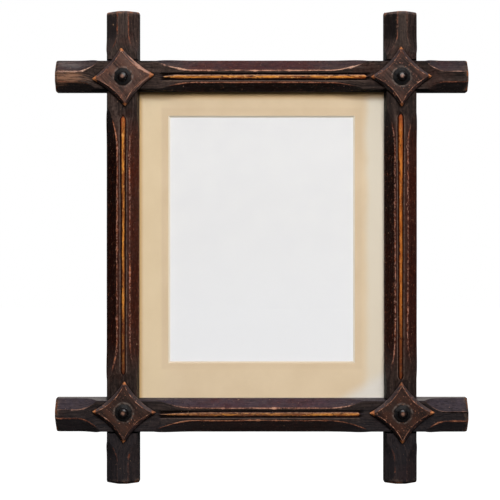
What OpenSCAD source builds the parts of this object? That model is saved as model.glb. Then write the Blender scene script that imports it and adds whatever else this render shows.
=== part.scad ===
// Oxford picture frame: four half-lapped oak members with horns, corner stars and studs,
// a glazed and mounted picture behind them, and brass fittings on the back.
// Millimetres. +Z is up, -Y is the front. The origin is on the wall plane, which is the
// plane of the members' backs, at the centre of the sight opening.

/* [Sight opening] */
// Width of the opening that shows the picture
sight_w = 203.2; // [150:0.1:300]
// Height of the opening that shows the picture
sight_h = 254; // [190:0.1:400]

/* [Members] */
// Width of each stile
stile_w = 27; // [24:0.5:34]
// Width of the top rail
top_rail_w = 26; // [24:0.5:34]
// Width of the bottom rail
bottom_rail_w = 28; // [26:0.5:34]
// Thickness of every member, front to back
member_t = 20; // [18:0.5:26]
// Length of the side and bottom horns beyond the crossing
horn = 42.3; // [32:0.5:60]
// Length of the top horns beyond the crossing
top_horn = 40.3; // [32:0.5:60]
// Bevel on the side corners of each horn end
horn_end_bevel = 1.1; // [0.5:0.1:2.5]
// Bevel on the front of each horn end and on the ends of its chamfers
horn_front_bevel = 2.4; // [0.5:0.1:3]
// Clearance on each side of a lap
lap_clear = 0.1; // [0:0.05:0.3]

/* [Chamfers] */
// Width of the chamfer along the sight opening
inner_chamfer = 6.8; // [4:0.1:8]
// Width of the chamfer along the outer edge of the stiles and the top rail
outer_chamfer = 8; // [4:0.1:9]
// Width of the chamfer along the outer edge of the bottom rail
bottom_chamfer = 9.5; // [4:0.1:9.5]
// Widths of the chamfers on the top rail's horns: left inner, left outer, right inner, right outer
horn_chamfers_top = [7.4, 10, 7.5, 9.8]; // [4:0.1:12]
// The same on the bottom rail
horn_chamfers_bottom = [8.6, 12, 10.4, 9.6]; // [4:0.1:12]
// The same on the left stile: top inner, top outer, bottom inner, bottom outer
horn_chamfers_left = [8, 9.6, 8.3, 9.6]; // [4:0.1:12]
// The same on the right stile
horn_chamfers_right = [10, 8.7, 8.2, 8.9]; // [4:0.1:12]
// Distance from the crossing to the full depth of a span chamfer
span_stop = 47; // [38:1:60]
// Radius of the scoop that ends a span chamfer
span_scoop_r = 92; // [60:1:110]
// Distance from the crossing to the full depth of a side or bottom horn's chamfers
horn_stop = 24; // [16:0.5:28]
// The same on the top horns
top_horn_stop = 21.5; // [16:0.5:28]
// Radius of the scoop that ends a horn chamfer
horn_scoop_r = 27; // [20:1:32]

/* [Centre bead] */
// Width of the bead between its two grooves
bead_w = 3.4; // [2:0.1:4.5]
// Width of each groove at the face
groove_w = 2.1; // [1:0.1:2.6]
// Depth of each groove
groove_d = 1.2; // [0.6:0.1:2]
// Distances from the crossings to the ends of the top rail's bead, left and right
bead_stops_top = [19.5, 15]; // [14:0.5:34]
// The same on the bottom rail, left and right
bead_stops_bottom = [18, 20.5]; // [14:0.5:34]
// The same on the left stile, top and bottom
bead_stops_left = [21, 20]; // [14:0.5:34]
// The same on the right stile, top and bottom
bead_stops_right = [19, 16]; // [14:0.5:34]

/* [Corner stars] */
// Shifts to the right from the middle of the stile's land, top left, top right, bottom left, bottom right
star_shifts_x = [0.6, 0.3, 1.2, 0.9]; // [-2:0.1:2]
// Shifts up from the middle of the rail's land, in the same order
star_shifts_z = [-1.2, -1, 2.2, 1.6]; // [-3:0.1:3]
// Widths of the stars in the same order
star_widths = [52.5, 51.5, 53.5, 55]; // [44:0.5:58]
// Heights of the stars in the same order
star_heights = [49.5, 50.5, 52, 52]; // [44:0.5:58]
// Turn of each star in degrees, counter-clockwise as seen from the front
star_turns = [3.8, 0.7, -0.8, 0.7]; // [-6:0.1:6]
// Thickness of each star
star_t = 5; // [3:0.5:8]
// How far the sides of each star are hollowed in
star_hollows = [1.9, 2.4, 2.7, 2.7]; // [1:0.1:5]
// Width and depth of the bevel round the front of a star
star_bevel = 2.1; // [0.5:0.1:3]
// Length cut off each tip
star_blunt = 0.6; // [0.3:0.1:1.5]

/* [Corner studs] */
// Width of the eight-sided flange across its corners
stud_flange_w = 14.8; // [12:0.2:18]
// Thickness of the flange
stud_flange_t = 1.3; // [0.8:0.1:2]
// Radius of the dome
stud_dome_r = 4.4; // [4:0.1:6]
// Height of the whole head above the star
stud_head_h = 4.8; // [3.5:0.1:6]
// Radius of the shank
stud_shank_r = 1.6; // [1.2:0.1:2.2]
// How far the shank reaches into the lapped members
stud_grip = 15; // [11:0.5:16]

/* [Glazing and picture] */
// Width of the rebate ledge round the sight opening
rebate_w = 6; // [4:0.5:8]
// Play between the rebate's wall and what lies in it
rebate_play = 1; // [0.5:0.1:1.5]
// Thickness of the glass
glass_t = 2; // [1.5:0.1:3]
// Thickness of the window mount
mount_t = 1.4; // [1:0.1:2]
// Width of the window, at its back edge
window_w = 152.4; // [110:0.1:200]
// Height of the window, at its back edge
window_h = 203.2; // [150:0.1:250]
// How far the window's centre lies above the centre of the sight opening
window_rise = 4.5; // [0:0.5:8]
// Thickness of the picture sheet
sheet_t = 0.3; // [0.2:0.05:0.5]
// How far the sheet reaches behind the mount on each side of the window
sheet_lap = 12; // [6:1:14]
// Thickness of the backing card
card_t = 1.2; // [0.8:0.1:2]
// Thickness of the backboard
board_t = 3.2; // [2.5:0.1:4]
// How far the backboard lies below the backs of the members
board_sink = 0.2; // [0.1:0.1:1]

/* [Turn buttons] */
// Height of the turn buttons above and below the centre
turn_height = 78; // [40:1:88]
// Distance from the rebate's wall to a button's screw
turn_inset = 6.5; // [6:0.1:9]
// Thickness of a button
turn_t = 1.2; // [0.8:0.1:1.6]
// Radius of a button's pivot end
turn_r = 4.6; // [4:0.1:5.5]
// Radius of a button's free end
turn_tip_r = 3.4; // [2.5:0.1:4.2]
// Distance between the centres of the two ends
turn_arm = 15; // [12:0.5:18]
// Gap under and over a button
turn_gap = 0.15; // [0.1:0.05:0.3]

/* [Ring hanger] */
// Width of the hanger's plate
plate_w = 38; // [34:1:48]
// Height of the hanger's plate
plate_h = 7.5; // [7:0.5:9]
// Thickness of the hanger's plate
plate_t = 1.2; // [0.8:0.1:1.5]
// Distance between the hanger's two screws
plate_screws = 27; // [25:0.5:30]
// Distance from the rebate's wall to the plate
plate_inset = 1.5; // [1:0.5:3]
// Mean radius of the ring
ring_r = 6.5; // [6:0.1:7.5]
// Radius of the ring's wire
ring_wire_r = 0.9; // [0.7:0.1:1.1]
// Width of the rolled eye
eye_w = 5.5; // [4:0.1:6.5]
// Thickness of the rolled eye's wall
eye_wall = 1; // [0.8:0.1:1.2]

/* [Screws] */
// Radius of the screw heads
screw_head_r = 2.8; // [2.4:0.1:3.2]
// Height of the screw heads
screw_head_h = 1.7; // [1.3:0.1:2.2]
// Radius of the screw shanks
screw_r = 1.4; // [1.2:0.1:1.7]
// Length of the screws under the head
screw_l = 11; // [8:0.5:13]
// Width of the slot in each head
slot_w = 0.7; // [0.5:0.1:1]
// Depth of the slot in each head
slot_d = 0.7; // [0.4:0.1:1]

/* [Hidden] */

// Roundness of large scoops, of hollows and of small round parts
scoop_fn = 240;
hollow_fn = 160;
small_fn = 48;
// How far cutters run past the faces that they cut
past = 2;
// How far a scoop dips below the chamfer that it ends, so that the two cross at an angle
scoop_dip = 0.15;
// Radial clearance of a shank in a hole that it only fills, and of a pivot that turns
fill_clear = 0.05;
pivot_clear = 0.08;
// Radial clearance of the ring's wire in the eye
eye_clear = 0.25;
// Gap between the rolled eye and the wood behind it
eye_lift = 0.1;
// How much longer a blind hole is than the shank in it
hole_spare = 0.5;

half_w = sight_w / 2;
half_h = sight_h / 2;
lap_y = -member_t / 2;
cross_x = half_w + stile_w / 2;
// Middles of the lands between the chamfers of the stiles, the top rail and the bottom rail
land_x = half_w + (stile_w + inner_chamfer - outer_chamfer) / 2;
land_top = half_h + (top_rail_w + inner_chamfer - outer_chamfer) / 2;
land_bottom = -half_h - (bottom_rail_w + inner_chamfer - bottom_chamfer) / 2;
// Centres of the stars, top left, top right, bottom left, bottom right
corners = [
    [star_shifts_x[0] - land_x, land_top + star_shifts_z[0]],
    [star_shifts_x[1] + land_x, land_top + star_shifts_z[1]],
    [star_shifts_x[2] - land_x, land_bottom + star_shifts_z[2]],
    [star_shifts_x[3] + land_x, land_bottom + star_shifts_z[3]]
];

// The stack in the rebate, from the glass back to the board
rebate_d = glass_t + mount_t + sheet_t + card_t + board_t + board_sink;
glass_y = -rebate_d;
mount_y = glass_y + glass_t;
sheet_y = mount_y + mount_t;
card_y = sheet_y + sheet_t;
board_y = card_y + card_t;
fill_w = sight_w + 2 * (rebate_w - rebate_play);
fill_h = sight_h + 2 * (rebate_w - rebate_play);

turn_x = half_w + rebate_w + turn_inset;
plate_z = half_h + rebate_w + plate_inset;
// How far the ring's wire curves down over half the width of the eye
ring_sag = ring_r - sqrt(ring_r * ring_r - eye_w * eye_w / 4);
eye_r = ring_wire_r + ring_sag / 2 + eye_clear;
eye_y = eye_lift + eye_r + eye_wall;
eye_z = plate_z + plate_h + eye_r;

// A cylinder along Y from y0 to y1
module rod_y(r, y0, y1, fn = small_fn) {
    translate([0, y1, 0]) rotate([90, 0, 0]) cylinder(r = r, h = y1 - y0, $fn = fn);
}

// A box centred in X and Z, from y0 to y1
module slab(w, h, y0, y1) {
    translate([-w / 2, y0, -h / 2]) cube([w, y1 - y0, h]);
}

// Along a member, u runs along its length, v from the sight opening outwards, y from the front.
// The corner that a 45 degree chamfer of width c takes off the arris v = 0, from u0 to u1
module chamfer_wedge(c, u0, u1) {
    translate([u0, -member_t, 0]) rotate([90, 0, 90])
        linear_extrude(u1 - u0) polygon([[-past, -past], [c + past, -past], [-past, c + past]]);
}

// The scoop of radius r that ends such a chamfer, deepest at u0
module chamfer_scoop(c, u0, r) {
    translate([u0, -member_t + c / 2, c / 2]) rotate([-45, 0, 0])
        translate([0, 0, scoop_dip - r]) rotate([90, 0, 0])
            cylinder(r = r, h = 3 * c, center = true, $fn = scoop_fn);
}

// All that is cut from one arris of a member whose middle is at u = 0: the chamfer c of a span, and at
// each end the chamfer horn_c of a horn that begins past the crossing
module arris_cuts(c, horn_c, span, crossings, ends, horn_stops) {
    stop = span / 2 - span_stop;
    chamfer_wedge(c, -stop, stop);
    for (end = [0, 1]) mirror([1 - end, 0, 0]) {
        horn_at = span / 2 + crossings[end] + horn_stops[end];
        chamfer_scoop(c, stop, span_scoop_r);
        chamfer_wedge(horn_c[end], horn_at, ends[end] + past);
        chamfer_scoop(horn_c[end], horn_at, horn_scoop_r);
    }
}

// A V-groove of length l that starts at the origin and runs along u
module groove(l) {
    translate([0, -member_t, 0]) rotate([90, 0, 90]) linear_extrude(l)
        polygon([[-past, -past], [-past, past], [0, groove_w / 2], [groove_d, 0], [0, -groove_w / 2]]);
}

// The two grooves that leave the bead standing, closed to a point at both ends.
// The bead stops short of the crossings by stops[0] at -u and stops[1] at +u
module bead_grooves(span, stops) {
    off = (bead_w + groove_w) / 2;
    for (side = [-1, 1]) {
        translate([stops[0] - span / 2, 0, side * off]) groove(span - stops[0] - stops[1]);
        for (end = [0, 1])
            translate([(2 * end - 1) * (span / 2 - stops[end]), 0, side * off])
                rotate([0, -180 + end * 180 + (2 * end - 1) * side * 45, 0]) groove(off * sqrt(2));
    }
}

// A cutter of length l along Z that takes a bevel of size b off the arris at the origin
module bevel_bar(b, l) {
    rotate([0, 0, 45]) cube([b * sqrt(2), b * sqrt(2), l], center = true);
}

// The bevels at a horn's end, which lies at u = 0, with chamfers of the widths c on its two sides
module end_bevels(w, c) {
    translate([0, -member_t, w / 2]) bevel_bar(horn_front_bevel, 2 * w);
    for (side = [0, 1]) translate([0, 0, side * w]) mirror([0, 0, side]) {
        translate([0, -member_t / 2, 0]) rotate([90, 0, 0]) bevel_bar(horn_end_bevel, 2 * member_t);
        translate([0, -member_t + c[side] / 2, c[side] / 2]) rotate([45, 0, 0])
            bevel_bar(horn_front_bevel, 3 * c[side]);
    }
}

// One member: w wide, its span between two crossings, with a horn past each. In every pair the end at -u
// comes first. The horns' chamfers are c_inner and c_outer, the span's are inner_chamfer and chamfer_out,
// and the bead lies in the middle of the span's land
module member(w, span, crossings, horns, horn_stops, c_inner, c_outer, stops, chamfer_out) {
    ends = [span / 2 + crossings[0] + horns[0], span / 2 + crossings[1] + horns[1]];
    difference() {
        translate([-ends[0], -member_t, 0]) cube([ends[0] + ends[1], member_t, w]);
        arris_cuts(inner_chamfer, c_inner, span, crossings, ends, horn_stops);
        translate([0, 0, w]) mirror([0, 0, 1])
            arris_cuts(chamfer_out, c_outer, span, crossings, ends, horn_stops);
        translate([0, 0, (w + inner_chamfer - chamfer_out) / 2]) bead_grooves(span, stops);
        for (end = [0, 1]) mirror([1 - end, 0, 0]) translate([ends[end], 0, 0])
            end_bevels(w, [c_inner[end], c_outer[end]]);
    }
}

// A rail with equal horns, whose chamfers are given as inner and outer at the left, then at the right
module rail(w, chamfers, stops, chamfer_out) {
    member(w, sight_w, [stile_w, stile_w], [horn, horn], [horn_stop, horn_stop],
        [chamfers[0], chamfers[2]], [chamfers[1], chamfers[3]], stops, chamfer_out);
}

// The space of the rebate
module rebate_space() {
    slab(sight_w + 2 * rebate_w, sight_h + 2 * rebate_w, -rebate_d, past);
}

// The holes for the corner studs
module stud_holes() {
    for (c = corners)
        translate([c[0], 0, c[1]])
            rod_y(stud_shank_r + fill_clear, -member_t - past, -member_t + stud_grip + hole_spare);
}

// The holes for the turn buttons' screws
module turn_holes() {
    for (x = [-turn_x, turn_x], z = [-turn_height, turn_height])
        translate([x, 0, z]) rod_y(screw_r + fill_clear, 2 * turn_gap + turn_t - screw_l - hole_spare, past);
}

// The holes for the hanger's screws
module plate_holes() {
    for (x = [-plate_screws / 2, plate_screws / 2])
        translate([x, 0, plate_z + plate_h / 2])
            rod_y(screw_r + fill_clear, plate_t - screw_l - hole_spare, 3 * past);
}

// The half laps in a rail, open at the back, where the stiles cross it
module rail_laps(z0, z1) {
    for (side = [-1, 1])
        translate([side * cross_x - stile_w / 2 - lap_clear, lap_y, z0 - past])
            cube([stile_w + 2 * lap_clear, member_t, z1 - z0 + 2 * past]);
}

// A half lap in a stile, open at the front, where a rail from z0 to z1 crosses it
module stile_lap(z0, z1) {
    translate([half_w - past, lap_y - member_t, z0 - lap_clear])
        cube([stile_w + 2 * past, member_t, z1 - z0 + 2 * lap_clear]);
}

module rail_top() {
    color([0.14, 0.1, 0.09]) difference() {
        translate([0, 0, half_h]) rail(top_rail_w, horn_chamfers_top, bead_stops_top, outer_chamfer);
        rail_laps(half_h, half_h + top_rail_w);
        rebate_space();
        stud_holes();
        plate_holes();
    }
}

module rail_bottom() {
    color([0.14, 0.1, 0.09]) difference() {
        mirror([0, 0, 1]) translate([0, 0, half_h])
            rail(bottom_rail_w, horn_chamfers_bottom, bead_stops_bottom, bottom_chamfer);
        rail_laps(-half_h - bottom_rail_w, -half_h);
        rebate_space();
        stud_holes();
    }
}

// A stile, on the right for side = 1 and on the left for side = -1, whose horns' chamfers are given as
// inner and outer at the top, then at the bottom
module stile(side, chamfers, stops) {
    color([0.14, 0.1, 0.09]) difference() {
        mirror([1 - side, 0, 0]) rotate([0, 90, 0]) translate([0, 0, half_w])
            member(stile_w, sight_h, [top_rail_w, bottom_rail_w], [top_horn, horn], [top_horn_stop, horn_stop],
                [chamfers[0], chamfers[2]], [chamfers[1], chamfers[3]], stops, outer_chamfer);
        mirror([1 - side, 0, 0]) stile_lap(half_h, half_h + top_rail_w);
        mirror([1 - side, 0, 0]) stile_lap(-half_h - bottom_rail_w, -half_h);
        rebate_space();
        stud_holes();
        turn_holes();
    }
}

module stile_right() stile(1, horn_chamfers_right, bead_stops_right);
module stile_left() stile(-1, horn_chamfers_left, bead_stops_left);

// What hollows one side of a star, between the tips at [tx, 0] and [0, tz], with a bevel in front
module star_hollow_cut(tx, tz, hollow) {
    chord = sqrt(tx * tx + tz * tz);
    r = (chord * chord / 4 + hollow * hollow) / (2 * hollow);
    away = (r - hollow) / chord;
    translate([tx / 2 + abs(tz) * sign(tx) * away, 0, tz / 2 + abs(tx) * sign(tz) * away]) {
        rod_y(r, -star_t - past, past, hollow_fn);
        translate([0, -star_t + star_bevel, 0]) rotate([90, 0, 0])
            cylinder(r1 = r, r2 = r + star_bevel + past, h = star_bevel + past, $fn = hollow_fn);
    }
}

// Star number i, standing on the fronts of the members
module star(i) {
    tx = star_widths[i] / 2;
    tz = star_heights[i] / 2;
    color([0.3, 0.19, 0.15]) translate([corners[i][0], -member_t, corners[i][1]])
        rotate([0, -star_turns[i], 0]) difference() {
            slab(2 * (tx - star_blunt), 2 * (tz - star_blunt), -star_t, 0);
            for (sx = [-1, 1], sz = [-1, 1]) star_hollow_cut(sx * tx, sz * tz, star_hollows[i]);
            rod_y(stud_shank_r + fill_clear, -star_t - past, past);
        }
}

module star_top_left() star(0);
module star_top_right() star(1);
module star_bottom_left() star(2);
module star_bottom_right() star(3);

// Stud number i: flange, sloping shoulder, dome and shank
module stud(i) {
    face = -member_t - star_t;
    color([0.07, 0.07, 0.08]) translate([corners[i][0], 0, corners[i][1]]) {
        translate([0, face, 0]) rotate([90, 22.5, 0])
            cylinder(r = stud_flange_w / 2, h = stud_flange_t, $fn = 8);
        translate([0, face, 0]) rotate([90, 0, 0])
            cylinder(
                r1 = stud_flange_w / 2 - 0.8, r2 = stud_dome_r - 0.2, h = stud_head_h * 0.6, $fn = small_fn
            );
        difference() {
            translate([0, face - stud_head_h + stud_dome_r, 0]) sphere(r = stud_dome_r, $fn = small_fn);
            slab(4 * stud_dome_r, 4 * stud_dome_r, face - stud_flange_t / 2, 0);
        }
        rod_y(stud_shank_r, face - stud_flange_t / 2, -member_t + stud_grip);
    }
}

module stud_top_left() stud(0);
module stud_top_right() stud(1);
module stud_bottom_left() stud(2);
module stud_bottom_right() stud(3);

module glass() {
    color([0.85, 0.92, 0.9, 0.3]) slab(fill_w, fill_h, glass_y, glass_y + glass_t);
}

// A prism along X or, turned, along Z, that widens by mount_t on each side towards the front
module window_prism(size, length) {
    translate([-length / 2, 0, 0]) rotate([90, 0, 90]) linear_extrude(length)
        polygon([
            [sheet_y + past, -size / 2 + past], [sheet_y + past, size / 2 - past],
            [mount_y - past, size / 2 + mount_t + past], [mount_y - past, -size / 2 - mount_t - past]
        ]);
}

module window_mount() {
    color([0.86, 0.77, 0.64]) difference() {
        slab(fill_w, fill_h, mount_y, mount_y + mount_t);
        translate([0, 0, window_rise]) intersection() {
            window_prism(window_h, 2 * window_w);
            rotate([0, 90, 0]) window_prism(window_w, 2 * window_h);
        }
    }
}

module picture_sheet() {
    color([0.91, 0.91, 0.91]) translate([0, 0, window_rise])
        slab(window_w + 2 * sheet_lap, window_h + 2 * sheet_lap, sheet_y, sheet_y + sheet_t);
}

module backing_card() {
    color([0.62, 0.55, 0.45]) slab(fill_w, fill_h, card_y, card_y + card_t);
}

module backboard() {
    color([0.55, 0.42, 0.28]) slab(fill_w, fill_h, board_y, board_y + board_t);
}

// A turn button on the right stile, closed, with its arm towards the board
module turn_button() {
    color([0.72, 0.56, 0.28]) translate([0, turn_gap + turn_t, 0]) rotate([90, 0, 0]) linear_extrude(turn_t)
        difference() {
            union() {
                circle(r = turn_r, $fn = small_fn);
                translate([-turn_arm, 0]) circle(r = turn_tip_r, $fn = small_fn);
                polygon([
                    [0, turn_r * 0.93], [-turn_arm, turn_tip_r * 0.93],
                    [-turn_arm, -turn_tip_r * 0.93], [0, -turn_r * 0.93]
                ]);
            }
            circle(r = screw_r + pivot_clear, $fn = small_fn);
        }
}

module turn_right_upper() translate([turn_x, 0, turn_height]) turn_button();
module turn_right_lower() translate([turn_x, 0, -turn_height]) turn_button();
module turn_left_upper() mirror([1, 0, 0]) turn_right_upper();
module turn_left_lower() mirror([1, 0, 0]) turn_right_lower();

// A round-headed screw whose head seats on the plane y = seat
module screw(seat) {
    // Radius of the sphere that the head is cut from
    r = (screw_head_r * screw_head_r + screw_head_h * screw_head_h) / (2 * screw_head_h);
    translate([0, seat, 0]) {
        difference() {
            translate([0, screw_head_h - r, 0]) sphere(r = r, $fn = small_fn);
            slab(4 * r, 4 * r, -4 * r, 0);
            translate([-2 * r, screw_head_h - slot_d, -slot_w / 2]) cube([4 * r, past, slot_w]);
        }
        rod_y(screw_r, -screw_l, screw_head_h / 3);
    }
}

module turn_screws() {
    color([0.7, 0.55, 0.3]) for (x = [-turn_x, turn_x], z = [-turn_height, turn_height])
        translate([x, 0, z]) screw(2 * turn_gap + turn_t);
}

module hanger_plate() {
    color([0.72, 0.56, 0.28]) difference() {
        union() {
            translate([0, 0, plate_z + plate_h / 2]) slab(plate_w, plate_h, 0, plate_t);
            translate([-eye_w / 2, 0, plate_z + plate_h / 2])
                cube([eye_w, plate_t, eye_z - plate_z - plate_h / 2]);
            translate([-eye_w / 2, eye_y, eye_z]) rotate([0, 90, 0])
                cylinder(r = eye_r + eye_wall, h = eye_w, $fn = small_fn);
        }
        translate([-eye_w, eye_y, eye_z]) rotate([0, 90, 0]) cylinder(r = eye_r, h = 2 * eye_w, $fn = small_fn);
        plate_holes();
    }
}

// The ring, hanging down, with the curve of its wire centred in the eye
module hanger_ring() {
    color([0.75, 0.6, 0.32]) translate([0, eye_y, eye_z + ring_sag / 2 - ring_r]) rotate([90, 0, 0])
        rotate_extrude($fn = 96) translate([ring_r, 0]) circle(r = ring_wire_r, $fn = 24);
}

module hanger_screws() {
    color([0.7, 0.55, 0.3]) for (x = [-plate_screws / 2, plate_screws / 2])
        translate([x, 0, plate_z + plate_h / 2]) screw(plate_t);
}

rail_top();
rail_bottom();
stile_left();
stile_right();
star_top_left();
star_top_right();
star_bottom_left();
star_bottom_right();
stud_top_left();
stud_top_right();
stud_bottom_left();
stud_bottom_right();
glass();
window_mount();
picture_sheet();
backing_card();
backboard();
turn_left_upper();
turn_left_lower();
turn_right_upper();
turn_right_lower();
turn_screws();
hanger_plate();
hanger_ring();
hanger_screws();
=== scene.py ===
"""Dresses the oxford picture frame: carved oak members, hollow-sided stars, domed studs,
the glazed mount, the pine back and its brass fittings, and the stage that shows them."""

import math
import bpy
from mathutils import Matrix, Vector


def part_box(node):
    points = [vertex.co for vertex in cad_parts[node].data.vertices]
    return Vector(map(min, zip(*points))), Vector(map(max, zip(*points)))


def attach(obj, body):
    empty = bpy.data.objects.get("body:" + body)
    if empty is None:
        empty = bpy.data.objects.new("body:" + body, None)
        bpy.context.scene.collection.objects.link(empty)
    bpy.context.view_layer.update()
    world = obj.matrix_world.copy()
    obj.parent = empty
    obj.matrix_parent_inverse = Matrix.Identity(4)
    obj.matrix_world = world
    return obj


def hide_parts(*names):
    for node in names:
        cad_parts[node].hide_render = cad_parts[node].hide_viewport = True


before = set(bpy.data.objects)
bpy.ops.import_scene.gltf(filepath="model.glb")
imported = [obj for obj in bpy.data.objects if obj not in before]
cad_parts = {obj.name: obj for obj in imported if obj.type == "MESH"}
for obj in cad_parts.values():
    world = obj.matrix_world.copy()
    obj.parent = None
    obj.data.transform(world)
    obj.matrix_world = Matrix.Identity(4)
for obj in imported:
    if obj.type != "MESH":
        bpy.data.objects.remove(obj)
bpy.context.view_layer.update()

from types import SimpleNamespace

import bmesh
import bpy
import numpy as np
from bpy.props import FloatProperty, FloatVectorProperty, IntProperty, PointerProperty
from mathutils import Vector

bl_info = {
    "name": "Oxford picture frame",
    "version": (1, 0, 0),
    "blender": (4, 5, 0),
    "location": "3D View > Sidebar > Oxford frame",
    "description": "Carved oak members, stars, studs, glazing and brass of an oxford picture frame",
    "category": "Add Mesh",
}

MEMBERS = ("rail_top", "rail_bottom", "stile_left", "stile_right")
CORNERS = ("top_left", "top_right", "bottom_left", "bottom_right")
TURNS = ("left_upper", "left_lower", "right_upper", "right_lower")
# The finished materials by name
FINISHES = {}


# Sizes and colours


def paint(red, green, blue):
    """A colour given as 0 to 255, as the linear RGBA that Blender's colours hold."""
    parts = [c / 255 for c in (red, green, blue)]
    return tuple(c / 12.92 if c <= 0.04045 else ((c + 0.055) / 1.055) ** 2.4 for c in parts) + (1.0,)


def length(label, note, value):
    """A length in metres that a user can change."""
    return FloatProperty(name=label, description=note, default=value, min=0, precision=5, unit="LENGTH")


def lengths(label, note, *values):
    """Several lengths in metres that belong together."""
    return FloatVectorProperty(
        name=label, description=note, default=values, size=len(values), precision=5, unit="LENGTH"
    )


def shares(label, note, *values):
    """Several plain numbers as one setting."""
    return FloatVectorProperty(name=label, description=note, default=values, size=len(values))


def power(label, note, value):
    """A lamp's power in watts."""
    return FloatProperty(name=label, description=note, default=value, min=0, unit="POWER")


def colour(label, note, value):
    """A colour that a user can change."""
    return FloatVectorProperty(
        name=label, description=note, default=value, size=4, min=0, max=1, subtype="COLOR"
    )


class MemberSizes(bpy.types.PropertyGroup):
    """How the rails and stiles are carved"""

    inner_chamfers: lengths(
        "Inner chamfers", "Widths by the opening: top, bottom, left, right", 0.0068, 0.0071, 0.0068, 0.0081
    )
    outer_chamfers: lengths("Outer chamfers", "The same on the outside", 0.009, 0.0103, 0.0093, 0.008)
    bead_middles: lengths(
        "Bead middles", "From the sight edge to each bead's middle", 0.0117, 0.0124, 0.0125, 0.0129
    )
    horns_top: lengths(
        "Top rail's horns", "Chamfers: left inner and outer, then right", 0.0074, 0.01, 0.0075, 0.0098
    )
    horns_bottom: lengths("Bottom rail's horns", "The same on the bottom rail", 0.0086, 0.012, 0.0104, 0.0096)
    horns_left: lengths(
        "Left stile's horns", "The same on the left stile, top and bottom", 0.008, 0.0096, 0.0083, 0.0096
    )
    horns_right: lengths("Right stile's horns", "The same on the right stile", 0.01, 0.0087, 0.0082, 0.0089)
    span_stop: length("Span stop", "Distance from a crossing to a span chamfer's full width", 0.047)
    span_scoop: length("Span scoop", "Radius of the scoop that ends a span chamfer", 0.092)
    horn_stop: length("Horn stop", "Distance from a crossing to a horn chamfer's full width", 0.024)
    top_horn_stop: length("Top horn stop", "The same on the top horns", 0.0215)
    horn_scoop: length("Horn scoop", "Radius of the scoop that ends a horn chamfer", 0.027)
    front_bevel: length("End bevel", "Bevel on the front of each horn end", 0.0024)
    side_bevel: length("Side bevel", "Bevel on the side corners of each horn end", 0.0007)
    lap_clear: length("Lap clearance", "Clearance on each side of a half lap", 0.0001)
    rebate_w: length("Rebate width", "Width of the ledge that the glazing lies on", 0.006)
    rebate_d: length("Rebate depth", "Depth of the rebate from the backs of the members", 0.0083)
    rail_bead: length("Rail bead", "Width of the bead between its grooves on the rails", 0.0038)
    stile_bead: length("Stile bead", "The same on the stiles, where they are narrowest", 0.0031)
    bead_swell: FloatProperty(
        name="Bead swell", description="Share by which the stiles' beads widen upwards", default=0.28, min=0
    )
    rail_groove: length("Rail groove", "Width of each groove at the face of the rails", 0.0014)
    stile_groove: length("Stile groove", "The same on the stiles", 0.0009)
    groove_d: length("Groove depth", "Depth of each groove", 0.0012)
    bead_top: lengths("Top bead stops", "From the crossings to the ends of the top bead", 0.0195, 0.015)
    bead_bottom: lengths("Bottom bead stops", "The same on the bottom rail", 0.018, 0.0205)
    bead_left: lengths("Left bead stops", "The same on the left stile, top and bottom", 0.021, 0.020)
    bead_right: lengths("Right bead stops", "The same on the right stile, top and bottom", 0.019, 0.016)
    worn_edge: length("Worn edge", "How far the arrises are worn back where they are worn least", 0.00035)
    unevenness: length("Unevenness", "How far the hand-cut lines stray", 0.0004)
    lean: FloatProperty(name="Lean", description="Slope of the sides without a chamfer", default=0.17, min=0)
    wear_inner: shares(
        "Inner wear", "Wear of the inner arrises: top, bottom, left, right", 1.05, 0.9, 1.0, 1.0
    )
    wear_outer: shares("Outer wear", "The same on the outer arrises", 1.45, 1.3, 1.15, 0.8)
    pitch: length("Pitch", "Distance between the sections that a member is drawn through", 0.0008)
    seed: IntProperty(name="Seed", description="Changes where the wear and the chips fall", default=7)


class StarSizes(bpy.types.PropertyGroup):
    """Sizes of the four corner stars, top left, top right, bottom left, bottom right"""

    widths: lengths("Widths", "Widths of the stars", 0.0525, 0.0515, 0.0535, 0.055)
    heights: lengths("Heights", "Heights of the stars", 0.0495, 0.0505, 0.052, 0.052)
    turns: FloatVectorProperty(
        name="Turns",
        description="Turn of each star, counter-clockwise from the front",
        default=[math.radians(a) for a in (3.8, 0.7, -0.8, 0.7)],
        size=4,
        unit="ROTATION",
    )
    hollows: lengths("Hollows", "How far the stars' sides are hollowed in", 0.0019, 0.0024, 0.0027, 0.0027)
    bevel: length("Bevel", "Width and depth of the bevel round the front", 0.0021)
    blunt: length("Blunt", "Length cut off each tip", 0.0006)
    wear: length("Wear", "How far the edges are worn and chipped", 0.00035)


class StudSizes(bpy.types.PropertyGroup):
    """Sizes of the corner studs"""

    flange: length("Flange", "Width of the eight-sided flange across its corners", 0.0148)
    dome: length("Dome", "Radius of the dome where it leaves the flange", 0.0043)


class BrassSizes(bpy.types.PropertyGroup):
    """Sizes of the brass fittings on the back"""

    pivot_r: length("Pivot end", "Radius of a turn button's pivot end", 0.0046)
    tip_r: length("Free end", "Radius of a turn button's free end", 0.0034)
    arm: length("Arm", "Distance between the two ends' centres", 0.015)
    edge: length("Edge", "Rounding of the buttons' edges", 0.00025)
    bore_r: length("Bore", "Radius of the hole for the screw", 0.00148)
    head_r: length("Screw head", "Radius of the screw heads", 0.0028)
    head_h: length("Screw head height", "Height of the screw heads", 0.0017)
    slot_w: length("Slot width", "Width of the slot in each head", 0.0007)
    slot_d: length("Slot depth", "Depth of the slot in each head", 0.0007)


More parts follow.
